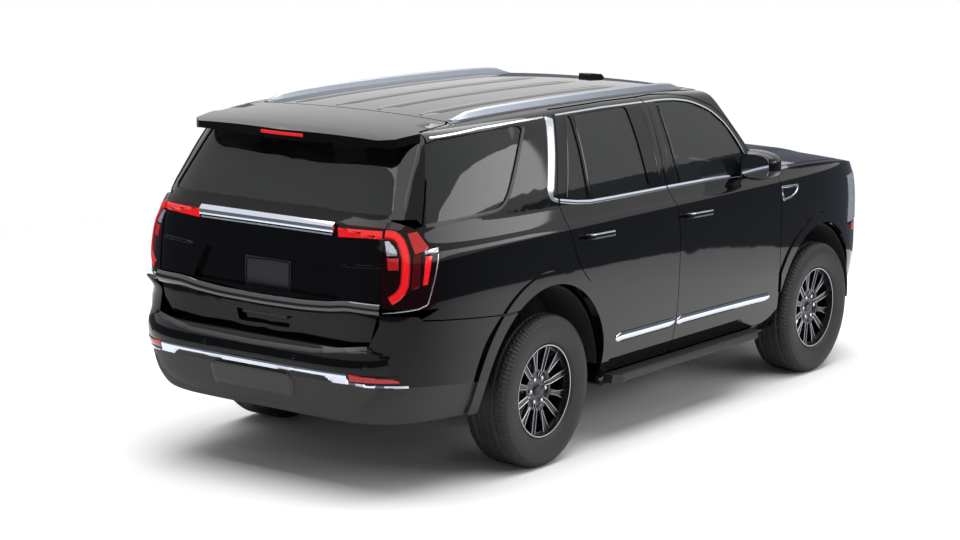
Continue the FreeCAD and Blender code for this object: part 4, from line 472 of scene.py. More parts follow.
# %% Sweeps, patches and mirrored copies
def mesh_object(name, verts, faces, material, smooth=30, recalc=True):
    mesh = bpy.data.meshes.new(name)
    mesh.from_pydata([tuple(map(float, v)) for v in verts], [], faces)
    obj = link(bpy.data.objects.new(name, mesh))
    bm = bmesh.new()
    bm.from_mesh(mesh)
    bmesh.ops.remove_doubles(bm, verts=bm.verts, dist=0.000005)
    if recalc:
        bmesh.ops.recalc_face_normals(bm, faces=bm.faces)
    bm.to_mesh(mesh)
    bm.free()
    mesh.shade_smooth()
    if smooth:
        mesh.set_sharp_from_angle(angle=math.radians(smooth))
    mesh.materials.append(material)
    return obj


def resample(points, spacing):
    points = np.asarray(points, dtype=float)
    length = np.concatenate([[0], np.cumsum(np.linalg.norm(np.diff(points, axis=0), axis=1))])
    count = max(2, int(length[-1] / spacing) + 1)
    at = np.linspace(0, length[-1], count)
    return np.stack([np.interp(at, length, points[:, k]) for k in range(points.shape[1])], axis=1)


def rounded(points, radius, steps=6):
    points = [np.asarray(p, dtype=float) for p in points]
    out = [points[0]]
    for before, here, after in zip(points[:-2], points[1:-1], points[2:]):
        a, b = before - here, after - here
        reach = min(radius, np.linalg.norm(a) * 0.45, np.linalg.norm(b) * 0.45)
        start = here + a / np.linalg.norm(a) * reach
        end = here + b / np.linalg.norm(b) * reach
        for k in range(steps + 1):
            t = k / steps
            out.append((1 - t) ** 2 * start + 2 * t * (1 - t) * here + t * t * end)
    out.append(points[-1])
    return np.array(out)


def sweep_data(path, normals, section, closed=False, taper=0.0):
    path = np.asarray(path, dtype=float)
    normals = np.asarray(normals, dtype=float)
    if closed:
        tangent = np.roll(path, -1, axis=0) - np.roll(path, 1, axis=0)
    else:
        tangent = np.gradient(path, axis=0)
    tangent /= np.linalg.norm(tangent, axis=1, keepdims=True)
    across = np.cross(tangent, normals)
    across /= np.linalg.norm(across, axis=1, keepdims=True)
    count, size = len(path), len(section)
    length = np.concatenate([[0], np.cumsum(np.linalg.norm(np.diff(path, axis=0), axis=1))])
    verts = []
    for k in range(count):
        scale = 1.0
        if taper and not closed:
            edge = min(length[k], length[-1] - length[k])
            scale = max(0.12, min(1.0, edge / taper)) ** 0.5
        for u, v in section:
            verts.append(path[k] + across[k] * u * scale + normals[k] * (v * scale if v > 0 else v))
    faces = []
    last = count if closed else count - 1
    for k in range(last):
        n = (k + 1) % count
        for j in range(size):
            m = (j + 1) % size
            faces.append((k * size + j, k * size + m, n * size + m, n * size + j))
    if not closed:
        faces.append(tuple(range(size)))
        faces.append(tuple((count - 1) * size + j for j in range(size)))
    return verts, faces


def bar_section(width, height, sunk=0.002, crown=0.35):
    half = width / 2
    return [(-half, -sunk), (-half, height * (1 - crown)), (-half * 0.72, height * 0.93), (0, height),
            (half * 0.72, height * 0.93), (half, height * (1 - crown)), (half, -sunk)]


def oval_section(half_width, half_height, count):
    turns = np.linspace(0, 2 * math.pi, count, endpoint=False)
    return [(math.cos(a) * half_width, math.sin(a) * half_height) for a in turns]


def side_points(table, spacing=0.02):
    flat = resample(np.array(table, dtype=float) / 1000, spacing)
    x, z = flat[:, 0], flat[:, 1]
    points = np.stack([x, side_y(x, z), z], axis=1)
    return points, field_normal(body_field, points)


def tree_of(names):
    verts, polys = [], []
    for name in names:
        source = nodes[name]
        base = len(verts)
        verts.extend(source.matrix_world @ v.co for v in source.data.vertices)
        polys.extend(tuple(i + base for i in face.vertices) for face in source.data.polygons)
    return BVHTree.FromPolygons(verts, polys)


gate_tree = tree_of(["tailgate", "tailgate_lamps"])
bumper_tree = tree_of(["rear_bumper"])


def seen_x(tree_hit, base):
    """The rearmost of the drawn surface and the solid behind it, point by point."""
    x = base[:, 0].copy()
    for k, point in enumerate(base):
        hit, _, _, _ = tree_hit.ray_cast(Vector((-4.0, point[1], point[2])), Vector((1, 0, 0)))
        if hit is not None and point[0] - 0.06 < hit.x < x[k]:
            x[k] = hit.x
    return x


def rear_points(table, spacing=0.02, out=0.0, field=body_field):
    flat = resample(np.array(table, dtype=float) / 1000, spacing)
    y, z = flat[:, 0], flat[:, 1]
    x = bumper_x(y, z) if field is bumper_field else end_x(y, z, -1)
    points = np.stack([x, y, z], axis=1)
    normals = field_normal(field, points)
    stand = float(np.max(points[:, 0] - seen_x(bumper_tree if field is bumper_field else gate_tree, points)))
    return points + normals * (out + max(0.0, stand)), normals


def ring_points(table, spacing=0.012, out=0.0, field=body_field):
    """A path given as x, y, z picks: pulled onto the surface, then lifted by out."""
    points = resample(np.array(table, dtype=float) / 1000, spacing)
    for _ in range(6):
        normals = field_normal(field, points)
        e = 0.002
        slope = (field(points + normals * e) - field(points - normals * e)) / (2 * e)
        points = points - normals * (field(points) / slope)[:, None]
    normals = field_normal(field, points)
    return points + normals * out, normals


def merge_data(parts):
    verts, faces = [], []
    for v, f in parts:
        base = len(verts)
        verts.extend(v)
        faces.extend(tuple(i + base for i in face) for face in f)
    return verts, faces


def mirrored_data(data):
    verts, faces = data
    return [np.array((v[0], -v[1], v[2])) for v in verts], [tuple(reversed(f)) for f in faces]


def sliced(outline, step):
    """An outline in the plane, filled and sliced both ways: points and faces."""
    bm = bmesh.new()
    ring = [bm.verts.new((p[0], p[1], 0)) for p in outline]
    bm.faces.new(ring)
    low = np.min(outline, axis=0)
    high = np.max(outline, axis=0)
    for axis in (0, 1):
        count = int((high[axis] - low[axis]) / step)
        for k in range(1, count + 1):
            where = low[axis] + (high[axis] - low[axis]) * k / (count + 1)
            point = [0, 0, 0]
            point[axis] = where
            normal = [0, 0, 0]
            normal[axis] = 1
            bmesh.ops.bisect_plane(bm, geom=bm.verts[:] + bm.edges[:] + bm.faces[:], plane_co=point,
                                   plane_no=normal, dist=1e-7)
    bm.verts.index_update()
    points = np.array([v.co[:2] for v in bm.verts])
    faces = [tuple(v.index for v in f.verts) for f in bm.faces]
    rim = [tuple(v.index for v in e.verts) for e in bm.edges if len(e.link_faces) == 1]
    edge = {i for pair in rim for i in pair}
    bm.free()
    return points, faces, rim, edge


def patch_data(outline, place, height, sunk=0.003, step=0.03, soft=0.5):
    points, faces, rim, edge = sliced(np.array(outline, dtype=float), step)
    lift = np.array([height * (soft if i in edge else 1.0) for i in range(len(points))])
    top = place(points, lift)
    low = place(points, np.full(len(points), -sunk))
    count = len(points)
    verts = list(top) + list(low)
    out = list(faces) + [tuple(i + count for i in reversed(f)) for f in faces]
    out += [(a, b, b + count, a + count) for a, b in rim]
    return verts, out


def on_side(points, lift):
    x, z = points[:, 0], points[:, 1]
    base = np.stack([x, side_y(x, z), z], axis=1)
    return base + field_normal(body_field, base) * lift[:, None]


def on_rear(points, lift):
    y, z = points[:, 0], points[:, 1]
    base = np.stack([end_x(y, z, -1), y, z], axis=1)
    normals = field_normal(body_field, base)
    base[:, 0] = seen_x(gate_tree, base)
    return base + normals * lift[:, None]


def on_bumper(points, lift):
    y, z = points[:, 0], points[:, 1]
    base = np.stack([bumper_x(y, z), y, z], axis=1)
    normals = field_normal(bumper_field, base)
    base[:, 0] = seen_x(bumper_tree, base)
    return base + normals * lift[:, None]


def piece(name, data, material, body, replaced=(), smooth=30):
    obj = mesh_object(name, data[0], data[1], material, smooth)
    return finish_piece(obj, body, replaced)


def both_sides(name, data, material, body):
    """One piece on the right and its mirror on the left; each door carries its own."""
    for side, shape in (("_right", data), ("_left", mirrored_data(data))):
        piece(name + side, shape, material, body if body == "body" else body + side)


def side_strip(name, table, section, material, body, spacing=0.02, taper=0.0):
    """A bar along a line drawn in side view, in millimetres."""
    data = sweep_data(*side_points(table, spacing), section, taper=taper)
    both_sides(name, data, material, body)


def mm(table):
    return [tuple(c / 1000 for c in row) for row in table]


# %% [markdown]
# A thin bright line runs round the side windows: a fine one over the doors, and a wider
# one under them that rises gently to the mirror. Behind the rear door a thick satin bar
# joins the two with a round corner. Each is a rolled section, so a sweep suits it. They
# are cut where the doors are cut, and each length rides on its own door.

# %% Bright lines of the side windows
belt_z = [(-1225, 1427), (-1066, 1403), (-936, 1391), (-690, 1387), (-422, 1385), (-91, 1383),
          (165, 1380), (430, 1377), (654, 1370), (836, 1360)]


def cut_table(table, low, high):
    xs = [p[0] for p in table]
    zs = [p[1] for p in table]
    inner = [p for p in table if low < p[0] < high]
    return [(low, float(np.interp(low, xs, zs)))] + inner + [(high, float(np.interp(high, xs, zs)))]


belt_bar = bar_section(0.021, 0.0045, 0.001)
fine_bar = bar_section(0.010, 0.003, 0.001)
top_front = rounded([(-156, 1861), (15, 1861), (171, 1853), (335, 1830), (520, 1769), (652, 1677),
                     (762, 1545), (836, 1412)], 90)
bright_lines = [
    ("belt_line_rear", cut_table(belt_z, -1222, -142), belt_bar, "rear_door"),
    ("belt_line_front", cut_table(belt_z, -128, 836), belt_bar, "front_door"),
    ("top_line_front", top_front, fine_bar, "front_door"),
    ("top_line_rear", [(-1062, 1862), (-600, 1866), (-168, 1862)], fine_bar, "rear_door"),
    ("top_line_quarter", [(-2102, 1826), (-1751, 1849), (-1400, 1857), (-1180, 1860)], fine_bar, "body"),
]
for name, table, section, body in bright_lines:
    side_strip(name, table, section, chrome, body)
c_path = rounded([(-1136, 1853), (-1296, 1476), (-1284, 1440), (-1236, 1428)], 42, 8)
c_section = [(-0.030, -0.001), (-0.031, 0.003), (-0.018, 0.005), (-0.012, 0.004),
             (0.012, 0.0048), (0.029, 0.003), (0.030, -0.001)]


def c_bar():
    points, normals = side_points(c_path, 0.012)
    z = points[:, 2]
    verts, faces = sweep_data(points, normals, c_section)
    verts = np.array(verts).reshape(len(points), len(c_section), 3)
    for k in range(len(points)):
        squeeze = 0.34 + 0.66 * np.clip((z[k] - 1.440) / 0.05, 0, 1)
        verts[k] = points[k] + (verts[k] - points[k]) * squeeze
    return list(verts.reshape(-1, 3)), faces


both_sides("c_pillar_bar", c_bar(), satin_alloy, "body")
print("bright lines set")

# %% [markdown]
# Gloss black covers hide the pillars between the side windows, and rubber-edged dividers
# cross the panes. They are thin moulded plates, laid on the surface as patches.

# %% Pillar covers and dividers
quarter_line = rounded([(-1388, 1826), (-1494, 1708), (-1591, 1588), (-1655, 1512), (-1712, 1462),
                        (-1778, 1438), (-1941, 1431), (-2116, 1425), (-2310, 1414)], 60)
dividers = [
    ("front_divider", [(-20, 1836), (-14, 1710), (24, 1400)], 0.012, 0.0012, gloss_trim, "front_door"),
    ("rear_divider", [(-901, 1852), (-919, 1412)], 0.026, 0.0015, gloss_trim, "rear_door"),
    ("vent_divider", [(-985, 1848), (-1142, 1436)], 0.016, 0.0015, gloss_trim, "rear_door"),
    ("quarter_divider", quarter_line, 0.019, 0.0016, satin_trim, "body"),
]
for name, table, width, height, material, body in dividers:
    side_strip(name, table, bar_section(width, height, 0.001), material, body)
pillar_covers = [
    ("b_cover_front", "front_door",
     [(-120, 1400), (-34, 1400), (-70, 1660), (-80, 1850), (-144, 1850), (-138, 1660)]),
    ("b_cover_rear", "rear_door",
     [(-150, 1850), (-214, 1850), (-206, 1660), (-196, 1402), (-144, 1402)]),
]
for name, door, outline in pillar_covers:
    both_sides(name, patch_data(mm(outline), on_side, 0.0016, 0.001), gloss_trim, door)
print("pillar covers set")

# %% [markdown]
# The lower door carries a deep chrome moulding, and a crease above it where the panel
# turns under. The D-shaped vent behind the front wheel is a plated frame round a dark
# mesh. The door handles are pull bars on two feet, black with a plated upper edge.

# %% Lower mouldings, vents and handles
mould = [(-0.026, -0.001), (-0.026, 0.004), (-0.016, 0.010), (0.002, 0.012), (0.018, 0.008),
         (0.026, 0.003), (0.026, -0.001)]
for name, table in (("rear", [(-712, 604), (-700, 603), (-452, 601), (-76, 600)]),
                    ("front", [(-54, 600), (400, 596), (800, 590), (1060, 582)])):
    side_strip("door_moulding_" + name, table, mould, chrome, name + "_door", 0.03, 0.03)
vent = mm([(1137, 1259), (1366, 1249), (1358, 1222), (1322, 1196), (1262, 1176), (1150, 1164),
           (1150, 1200), (1142, 1214)])
both_sides("vent_mesh", patch_data(vent, on_side, 0.002, 0.001, 0.012), gloss_trim, "body")


def closed_on_side(outline, spacing):
    flat = resample(np.array(list(outline) + [outline[0]], dtype=float), spacing)[:-1]
    points = np.stack([flat[:, 0], side_y(flat[:, 0], flat[:, 1]), flat[:, 1]], axis=1)
    return points, field_normal(body_field, points)


inner = np.array(vent)
middle = inner.mean(axis=0)
inner = middle + (inner - middle) * np.array([0.93, 0.84])
vent_ring = sweep_data(*closed_on_side(inner, 0.012), bar_section(0.012, 0.007, 0.001), closed=True)
both_sides("vent_frame", vent_ring, chrome, "body")


def handle_data(x0, x1, z0, z1):
    """A pull bar: a rounded bar that stands 34 mm out on two feet."""
    parts, trims = [], []
    xs = np.linspace(x0, x1, 25)
    t = np.linspace(0, 1, 25)
    z = z0 + (z1 - z0) * t
    bow = 0.034 * np.clip(np.minimum(t, 1 - t) / 0.10, 0, 1) ** 0.5 + 0.004
    base = np.stack([xs, side_y(xs, z), z], axis=1)
    normals = field_normal(body_field, base)
    path = base + normals * bow[:, None]
    section = oval_section(0.017, 0.008, 14)
    parts.append(sweep_data(path, normals, section))
    for end in (0.04, 0.93):
        k = int(end * 24)
        foot = [base[k] - normals[k] * 0.002, base[k] + normals[k] * 0.034]
        lengthwise = np.array([(1.0, 0.0, 0.0)] * 2)
        parts.append(sweep_data(foot, lengthwise, oval_section(0.014, 0.013, 14)))
    edge_path = path + normals * 0.0055 + np.array((0, 0, 0.011))
    trims.append(sweep_data(edge_path, normals, bar_section(0.006, 0.002, 0.002)))
    return merge_data(parts), merge_data(trims)


handle_places = (("front", "front_door", -0.012, 0.262, 1.209, 1.203),
                 ("rear", "rear_door", -1.062, -0.800, 1.216, 1.211))
for name, door, x0, x1, z0, z1 in handle_places:
    grip, edge = handle_data(x0, x1, z0, z1)
    both_sides("handle_" + name, grip, gloss_trim, door)
    both_sides("handle_edge_" + name, edge, chrome, door)
print("side trim set")

# %% [markdown]
# A tyre is a lathed section. Its tread has four grooves round it and fine sipes across,
# and the shoulder carries short blocks. The section is turned on a grid fine enough to
# press those into it as small moves along the radius, in vulcanised rubber.

# %% Tyres with their tread
FRONT_X, REAR_X, TRACK_HALF = 1.687, -1.384, 0.870
WHEELS = {"front_right": (FRONT_X, -TRACK_HALF), "front_left": (FRONT_X, TRACK_HALF),
          "rear_right": (REAR_X, -TRACK_HALF), "rear_left": (REAR_X, TRACK_HALF)}
AXLE_Z = 0.419
tyre_half = [(0.2562, -0.107), (0.268, -0.121), (0.3048, -0.1305), (0.352, -0.136), (0.390, -0.1285),
             (0.4075, -0.1165), (0.4165, -0.098)]
tyre_section = rounded(tyre_half + [(0.4180, 0.0)] + [(r, -a) for r, a in reversed(tyre_half)], 0.018, 3)


def tyre_data(steps=420):
    section = resample(tyre_section, 0.0072)
    radius, axial = section[:, 0], section[:, 1]
    angle = np.arange(steps) * 2 * math.pi / steps
    crown = np.abs(axial)
    groove = np.zeros(len(section))
    for middle in (-0.062, -0.021, 0.021, 0.062):
        groove = np.maximum(groove, np.clip(1 - np.abs(axial - middle) / 0.0052, 0, 1))
    groove = np.where(radius > 0.405, groove, 0)
    ring = np.arange(steps)
    sipe = ((ring[:, None] + (axial[None, :] * 210).astype(int)) % 6 < 2).astype(float)
    on_tread = ((radius > 0.411) & (crown < 0.105))[None, :]
    on_shoulder = ((radius > 0.393) & (crown >= 0.098))[None, :]
    block = (ring[:, None] % 4 < 2).astype(float)
    depth = 0.0032 * sipe * on_tread + 0.0050 * block * on_shoulder
    depth = np.maximum(depth, 0.0085 * groove[None, :])
    ring_high, ring_half = 0.0012, 0.005
    rings = sum(ring_high * np.clip(1 - np.abs(radius - at) / ring_half, 0, 1) for at in (0.372, 0.290))
    depth = depth + rings[None, :]
    r = radius[None, :] - depth
    a = axial[None, :] * (1 - 0.02 * block * on_shoulder)
    x = r * np.cos(angle)[:, None]
    z = r * np.sin(angle)[:, None]
    verts = np.stack([x, np.broadcast_to(a, x.shape), z], axis=2).reshape(-1, 3)
    size = len(section)
    faces = []
    for k in range(steps):
        n = (k + 1) % steps
        for j in range(size - 1):
            faces.append((k * size + j, n * size + j, n * size + j + 1, k * size + j + 1))
        faces.append((k * size + size - 1, n * size + size - 1, n * size, k * size))
    return verts, faces


tyre_verts, tyre_faces = tyre_data()
for place, (x, y) in WHEELS.items():
    tyre = mesh_object("tyre_" + place + "_rubber", tyre_verts + np.array((x, y, AXLE_Z)), tyre_faces, rubber,
                       42)
    finish_piece(tyre, "wheel_" + place, ["tyre_" + place])
print("tyre faces", len(tyre_faces))

# %% [markdown]
# The wheel is a cast alloy, sprayed dark and then turned bright on its high edges. Each
# spoke is bordered by two bright ridges, and every second pair opens into a fork. A
# bright ring closes the rim. All of it follows the cast face under it.

# %% Bright faces of the wheels
FACE = np.array([(0.0325, 0.0553), (0.092, 0.0553), (0.1012, 0.0679), (0.2414, 0.079),
                 (0.245, 0.1097), (0.254, 0.1097)])


def face_out(radius):
    return np.interp(radius, FACE[:, 0], FACE[:, 1])


def ridge(start, end, width, height):
    """A bright edge from one polar place to another: radius in metres, angle in degrees."""
    t = np.linspace(0, 1, 16)
    radius = start[0] + (end[0] - start[0]) * t
    angle = np.radians(start[1] + (end[1] - start[1]) * t)
    lift = face_out(np.minimum(radius, 0.2405))
    path = np.stack([radius * np.cos(angle), -lift, radius * np.sin(angle)], axis=1)
    normals = np.tile((0.0, -1.0, 0.0), (len(path), 1))
    edge = [(width / 2, -0.001), (width / 2, height * 0.75), (width / 4, height)]
    return sweep_data(path, normals, [(-u, v) for u, v in edge] + edge[::-1])


def ring_lathe(section, steps=120):
    angle = np.arange(steps) * 2 * math.pi / steps
    size = len(section)
    verts = [(r * math.cos(a), -o, r * math.sin(a)) for a in angle for r, o in section]
    faces = []
    for k in range(steps):
        n = (k + 1) % steps
        for j in range(size):
            m = (j + 1) % size
            faces.append((k * size + j, k * size + m, n * size + m, n * size + j))
    return verts, faces


spokes = []
for k in range(12):
    middle = 15 + 30 * k
    primary = k % 2 == 0
    spread_in, spread_out = (7.2, 3.6) if primary else (2.4, 6.0)
    for side in (-1, 1):
        inner, outer = (0.072 if primary else 0.118), 0.2385
        start, end = (inner, middle + side * spread_in), (outer, middle + side * spread_out)
        spokes.append(ridge(start, end, 0.0052 if primary else 0.004, 0.006))
spokes.append(ring_lathe([(0.2455, 0.0905), (0.2462, 0.1105), (0.2515, 0.1112), (0.2528, 0.1085),
                          (0.2470, 0.0890)]))
bright_verts, bright_faces = merge_data(spokes)
cap_verts, cap_faces = ring_lathe([(0.0005, 0.0640), (0.012, 0.0638), (0.024, 0.0622), (0.030, 0.0592),
                                   (0.0335, 0.0540), (0.0005, 0.0540)], 64)
for place, (x, y) in WHEELS.items():
    turn = np.array((1.0, 1.0 if y < 0 else -1.0, 1.0))
    home = np.array((x, y, AXLE_Z))
    bright = mesh_object("bright_spokes_" + place, np.array(bright_verts) * turn + home, bright_faces,
                         machined, 30)
    finish_piece(bright, "wheel_" + place)
    cap = mesh_object("hub_cap_" + place, np.array(cap_verts) * turn + home, cap_faces, gloss_trim, 40)
    finish_piece(cap, "wheel_" + place)
print("spoke ridges", len(spokes))

# %% [markdown]
# Six lug nuts hold each wheel, and the running board has a row of rubber ribs. Both are
# one shape repeated by a rule, so Geometry Nodes place them: a circle of points for the
# nuts, a line of points for the ribs. The result is made a plain mesh for each body.

# %% Repeats by Geometry Nodes
def node_group(name, inputs):
    group = bpy.data.node_groups.new(name, "GeometryNodeTree")
    sockets = {}
    for label, kind, value in inputs:
        socket = group.interface.new_socket(name=label, in_out="INPUT", socket_type=kind)
        socket.default_value = value
        sockets[label] = socket.identifier
    group.interface.new_socket(name="Geometry", in_out="OUTPUT", socket_type="NodeSocketGeometry")
    start = group.nodes.new("NodeGroupInput")
    end = group.nodes.new("NodeGroupOutput")
    return group, sockets, start, end


def close_tree(group, end, source, material):
    real = add(group, "GeometryNodeRealizeInstances", None, Geometry=source)
    dressed = add(group, "GeometryNodeSetMaterial", None, Geometry=real.outputs[0])
    dressed.inputs["Material"].default_value = material
    group.links.new(dressed.outputs[0], end.inputs[0])


def grown(group, sockets, name, values):
    """The tree's result as a plain mesh object."""
    host = link(bpy.data.objects.new(name + "_host", bpy.data.meshes.new(name + "_host")))
    modifier = host.modifiers.new("grow", "NODES")
    modifier.node_group = group
    for label, value in values.items():
        modifier[sockets[label]] = value
    bpy.context.view_layer.update()
    graph = bpy.context.evaluated_depsgraph_get()
    mesh = bpy.data.meshes.new_from_object(host.evaluated_get(graph))
    mesh.name = name
    host.modifiers.remove(modifier)
    bpy.data.objects.remove(host)
    return link(bpy.data.objects.new(name, mesh))


lug_tree, lug_sockets, start, end = node_group("lug_nuts", [
    ("Count", "NodeSocketInt", 6), ("Pitch Radius", "NodeSocketFloat", 0.0699), ("Nut Radius",
                                                                                 "NodeSocketFloat", 0.0115),
    ("Depth", "NodeSocketFloat", 0.016), ("Centre", "NodeSocketVector", (0, 0, 0))])
circle = add(lug_tree, "GeometryNodeMeshCircle", None, Vertices=start.outputs["Count"],
             Radius=start.outputs["Pitch Radius"])
nut = add(lug_tree, "GeometryNodeMeshCylinder", {"Vertices": 6}, Radius=start.outputs["Nut Radius"],
          Depth=start.outputs["Depth"])
dome = add(lug_tree, "GeometryNodeMeshUVSphere", {"Segments": 12, "Rings": 6},
           Radius=start.outputs["Nut Radius"])
flat = add(lug_tree, "GeometryNodeTransform", {"Scale": (0.86, 0.86, 0.55), "Translation": (0, 0, 0.007)},
           Geometry=dome.outputs["Mesh"])
both = lug_tree.nodes.new("GeometryNodeJoinGeometry")
lug_tree.links.new(nut.outputs["Mesh"], both.inputs[0])
lug_tree.links.new(flat.outputs[0], both.inputs[0])
on_points = add(lug_tree, "GeometryNodeInstanceOnPoints", None, Points=circle.outputs["Mesh"],
                Instance=both.outputs[0])
stand = add(lug_tree, "GeometryNodeTransform", {"Rotation": (math.pi / 2, 0, 0)},
            Geometry=on_points.outputs[0])
moved = add(lug_tree, "GeometryNodeTransform", None, Geometry=stand.outputs[0],
            Translation=start.outputs["Centre"])
close_tree(lug_tree, end, moved.outputs[0], chrome)
lug_stand_out = 0.0603
for place, (x, y) in WHEELS.items():
    centre = (x, y + math.copysign(lug_stand_out, y), AXLE_Z)
    lugs = grown(lug_tree, lug_sockets, "lug_nuts_" + place, {"Centre": centre})
    finish_piece(lugs, "wheel_" + place)

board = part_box("running_boards")
rib_tree, rib_sockets, start, end = node_group("board_ribs", [
    ("Count", "NodeSocketInt", 7), ("Spacing", "NodeSocketVector", (0, 0.018, 0)), ("Length",
                                                                                    "NodeSocketVector",
                                                                                    (1.9, 0.008, 0.006)),
    ("Start", "NodeSocketVector", (0, 0, 0))])
line = add(rib_tree, "GeometryNodeMeshLine", {"mode": "OFFSET"}, Count=start.outputs["Count"],
           Offset=start.outputs["Spacing"])
line.inputs["Start Location"].default_value = (0, 0, 0)
bar = add(rib_tree, "GeometryNodeMeshCube", {"Vertices X": 24}, Size=start.outputs["Length"])
row = add(rib_tree, "GeometryNodeInstanceOnPoints", None, Points=line.outputs[0],
          Instance=bar.outputs["Mesh"])
moved = add(rib_tree, "GeometryNodeTransform", None, Geometry=row.outputs[0],
            Translation=start.outputs["Start"])
close_tree(rib_tree, end, moved.outputs[0], rubber)
print("running boards", [tuple(round(c, 3) for c in p) for p in board])
boards = []
for side in (-1, 1):
    low_y = 0.952 if side > 0 else -1.030
    first = (0.11, low_y + 0.003, board[1][2] - 0.0005)
    sizes = {"Count": 5, "Spacing": (0, 0.0185, 0), "Length": (1.60, 0.009, 0.006), "Start": first}
    ribs = grown(rib_tree, rib_sockets, "board_ribs_" + ("left" if side > 0 else "right"), sizes)
    boards.append(finish_piece(ribs, "body"))
print("running board ribs", len(boards))

# %% [markdown]
# The rear bumper is one moulding: painted above, dull grained plastic below a bright
# strip that steps down at its ends beside the red reflectors. A blank cover hides the
# tow hitch, and a dull pad lies on the step.

# %% Rear bumper
shell = polish(copy_of("rear_bumper", "rear_bumper_paint"), [bumper_field, body_field], 50)
trim_point, trim_up = Vector((-2.439, -0.863, 0.607)), Vector((0.0685, 0, 0.9976))
cut_plane(shell, trim_point, trim_up)
shell = polish(shell, [bumper_field, body_field], 50)
shell.data.materials.clear()
shell.data.materials.append(paint)
shell.data.materials.append(grained_trim)
for face in shell.data.polygons:
    if (face.center - trim_point).dot(trim_up) < 0:
        face.material_index = 1
finish_piece(shell, "body", ["rear_bumper"])


strip = mm([
    (523, 677), (0, 674), (-523, 677), (-622, 677), (-629, 634), (-863, 617), (-863, 604), (-611, 620),
    (-537, 620), (-492, 650), (0, 643), (492, 650), (537, 620), (611, 620), (863, 604), (863, 617),
    (629, 634), (622, 677)])
piece("bumper_strip", patch_data(strip, on_bumper, 0.008, 0.002, 0.012, 0.35), chrome, "body")
# The bumper reflectors are no lamps: their faint red glow is painted light.
reflector = mm([(-632, 677), (-828, 660), (-843, 636), (-634, 641)])
both_sides("bumper_reflector", patch_data(reflector, on_bumper, 0.006, 0.001, 0.012, 0.6), glowing_red, "body")
cover = mm([(250, 634), (-250, 634), (-282, 590), (-268, 505), (268, 505), (282, 590)])
piece("hitch_cover", patch_data(cover, on_bumper, 0.007, 0.001, 0.02, 0.2), satin_trim, "body")
piece("hitch_lip",
      sweep_data(*rear_points([(-236, 626), (236, 626)], 0.02, 0.006, bumper_field),
                 bar_section(0.010, 0.004, 0.002)), gloss_trim, "body")
pad = mm([(0, 770), (-420, 778), (-700, 816), (-708, 798), (-600, 780), (-420, 758), (0, 748), (420, 758),
          (600, 780), (708, 798), (700, 816), (420, 778)])
piece("step_pad", patch_data(pad, on_bumper, 0.0022, 0.001, 0.02), satin_trim, "body")
sensor = ring_lathe([(0.0005, 0.003), (0.008, 0.003), (0.0105, 0.002), (0.011, -0.001), (0.0005, -0.001)], 24)
sensors = []
for y in (-0.72, -0.30, 0.30, 0.72):
    centre = np.array((float(bumper_x(np.array(y), np.array(0.722))), y, 0.722))
    facing = field_normal(bumper_field, centre[None, :])[0]
    across = np.cross((0, 0, 1), facing)
    across /= np.linalg.norm(across)
    over = np.cross(facing, across)
    disc = [centre + across * v[0] + over * v[2] - facing * v[1] for v in np.array(sensor[0])]
    sensors.append((disc, sensor[1]))
piece("parking_sensors", merge_data(sensors), gloss_trim, "body")
print("rear bumper dressed")

# %% [markdown]
# Each tail lamp is a C of glowing red round the corner: a light guide under a smoked
# lens, with reversing and turn segments inside it and a side marker outside. The guide
# is a sweep, the segments are patches laid over the rear corner. To lay a patch there,
# each point is moved along the corner's diagonal until it meets the surface.

# %% Tail lamps
def on_corner(points, lift):
    u, z = points[:, 0], points[:, 1]
    along = np.array((0.70711, -0.70711, 0.0))
    outward = np.array((-0.70711, -0.70711, 0.0))
    s = np.full(len(u), 2.2)
    for _ in range(14):
        base = u[:, None] * along + s[:, None] * outward
        base[:, 2] = z
        ahead = base + outward * 0.002
        slope = (body_field(ahead) - body_field(base)) / 0.002
        s = s - body_field(base) / slope
    base = u[:, None] * along + s[:, None] * outward
    base[:, 2] = z
    return base + field_normal(body_field, base) * lift[:, None]


def corner_outline(table):
    return [((x - y) * 0.00070711, z * 0.001) for x, y, z in table]


guide_path = [
    (-2479, -733, 1377), (-2466, -758, 1375), (-2453, -783, 1367), (-2446, -803, 1345),
    (-2446, -820, 1315), (-2448, -836, 1272), (-2454, -844, 1227), (-2460, -847, 1182),
    (-2466, -848, 1136), (-2477, -840, 1102), (-2490, -822, 1074), (-2507, -792, 1051)]
guide_section = [(-0.024, 0.001), (-0.022, 0.007), (-0.010, 0.0105), (0.010, 0.0105), (0.022, 0.007),
                 (0.024, 0.001)]
both_sides("light_guide", sweep_data(*ring_points(guide_path, 0.012), guide_section), glowing_red, "body")
both_sides("light_guide_core",
           sweep_data(*ring_points(guide_path, 0.012, 0.0095), bar_section(0.030, 0.002, 0.002)), light_guide,
           "body")
segments = [
    ("reverse_segment", clear_lens, "clear_lens",
     [(-2492, -742, 1343), (-2485, -761, 1346), (-2475, -782, 1322), (-2468, -797, 1297),
      (-2468, -799, 1277), (-2492, -754, 1273)]),
    ("turn_segment", glowing_red, "red_lens",
     [(-2492, -755, 1262), (-2462, -803, 1264), (-2470, -810, 1206), (-2495, -763, 1203)]),
    ("pink_reflector", glowing_red, "red_lens",
     # The pink reflector is no lamp: its faint glow is painted light.
     [(-2411, -818, 1381), (-2368, -843, 1390), (-2333, -895, 1306), (-2375, -884, 1291),
      (-2409, -866, 1282)]),
    ("side_marker", light_guide, "red_lens",
     [(-2364, -897, 1271), (-2329, -912, 1271), (-2372, -918, 1132), (-2395, -906, 1129)]),
]
for name, material, slot, table in segments:
    both_sides(name, patch_data(corner_outline(table), on_corner, 0.0072, -0.001, 0.012, 0.8), material,
               "body")
smoked, tree, shader = finish("smoked_red_acrylic_lens", "140203", 0.05)
shader.inputs["Specular Tint"].default_value = (0.4, 0.36, 0.36, 1)
noise = grain(tree, shader, 6.0, 0.02)
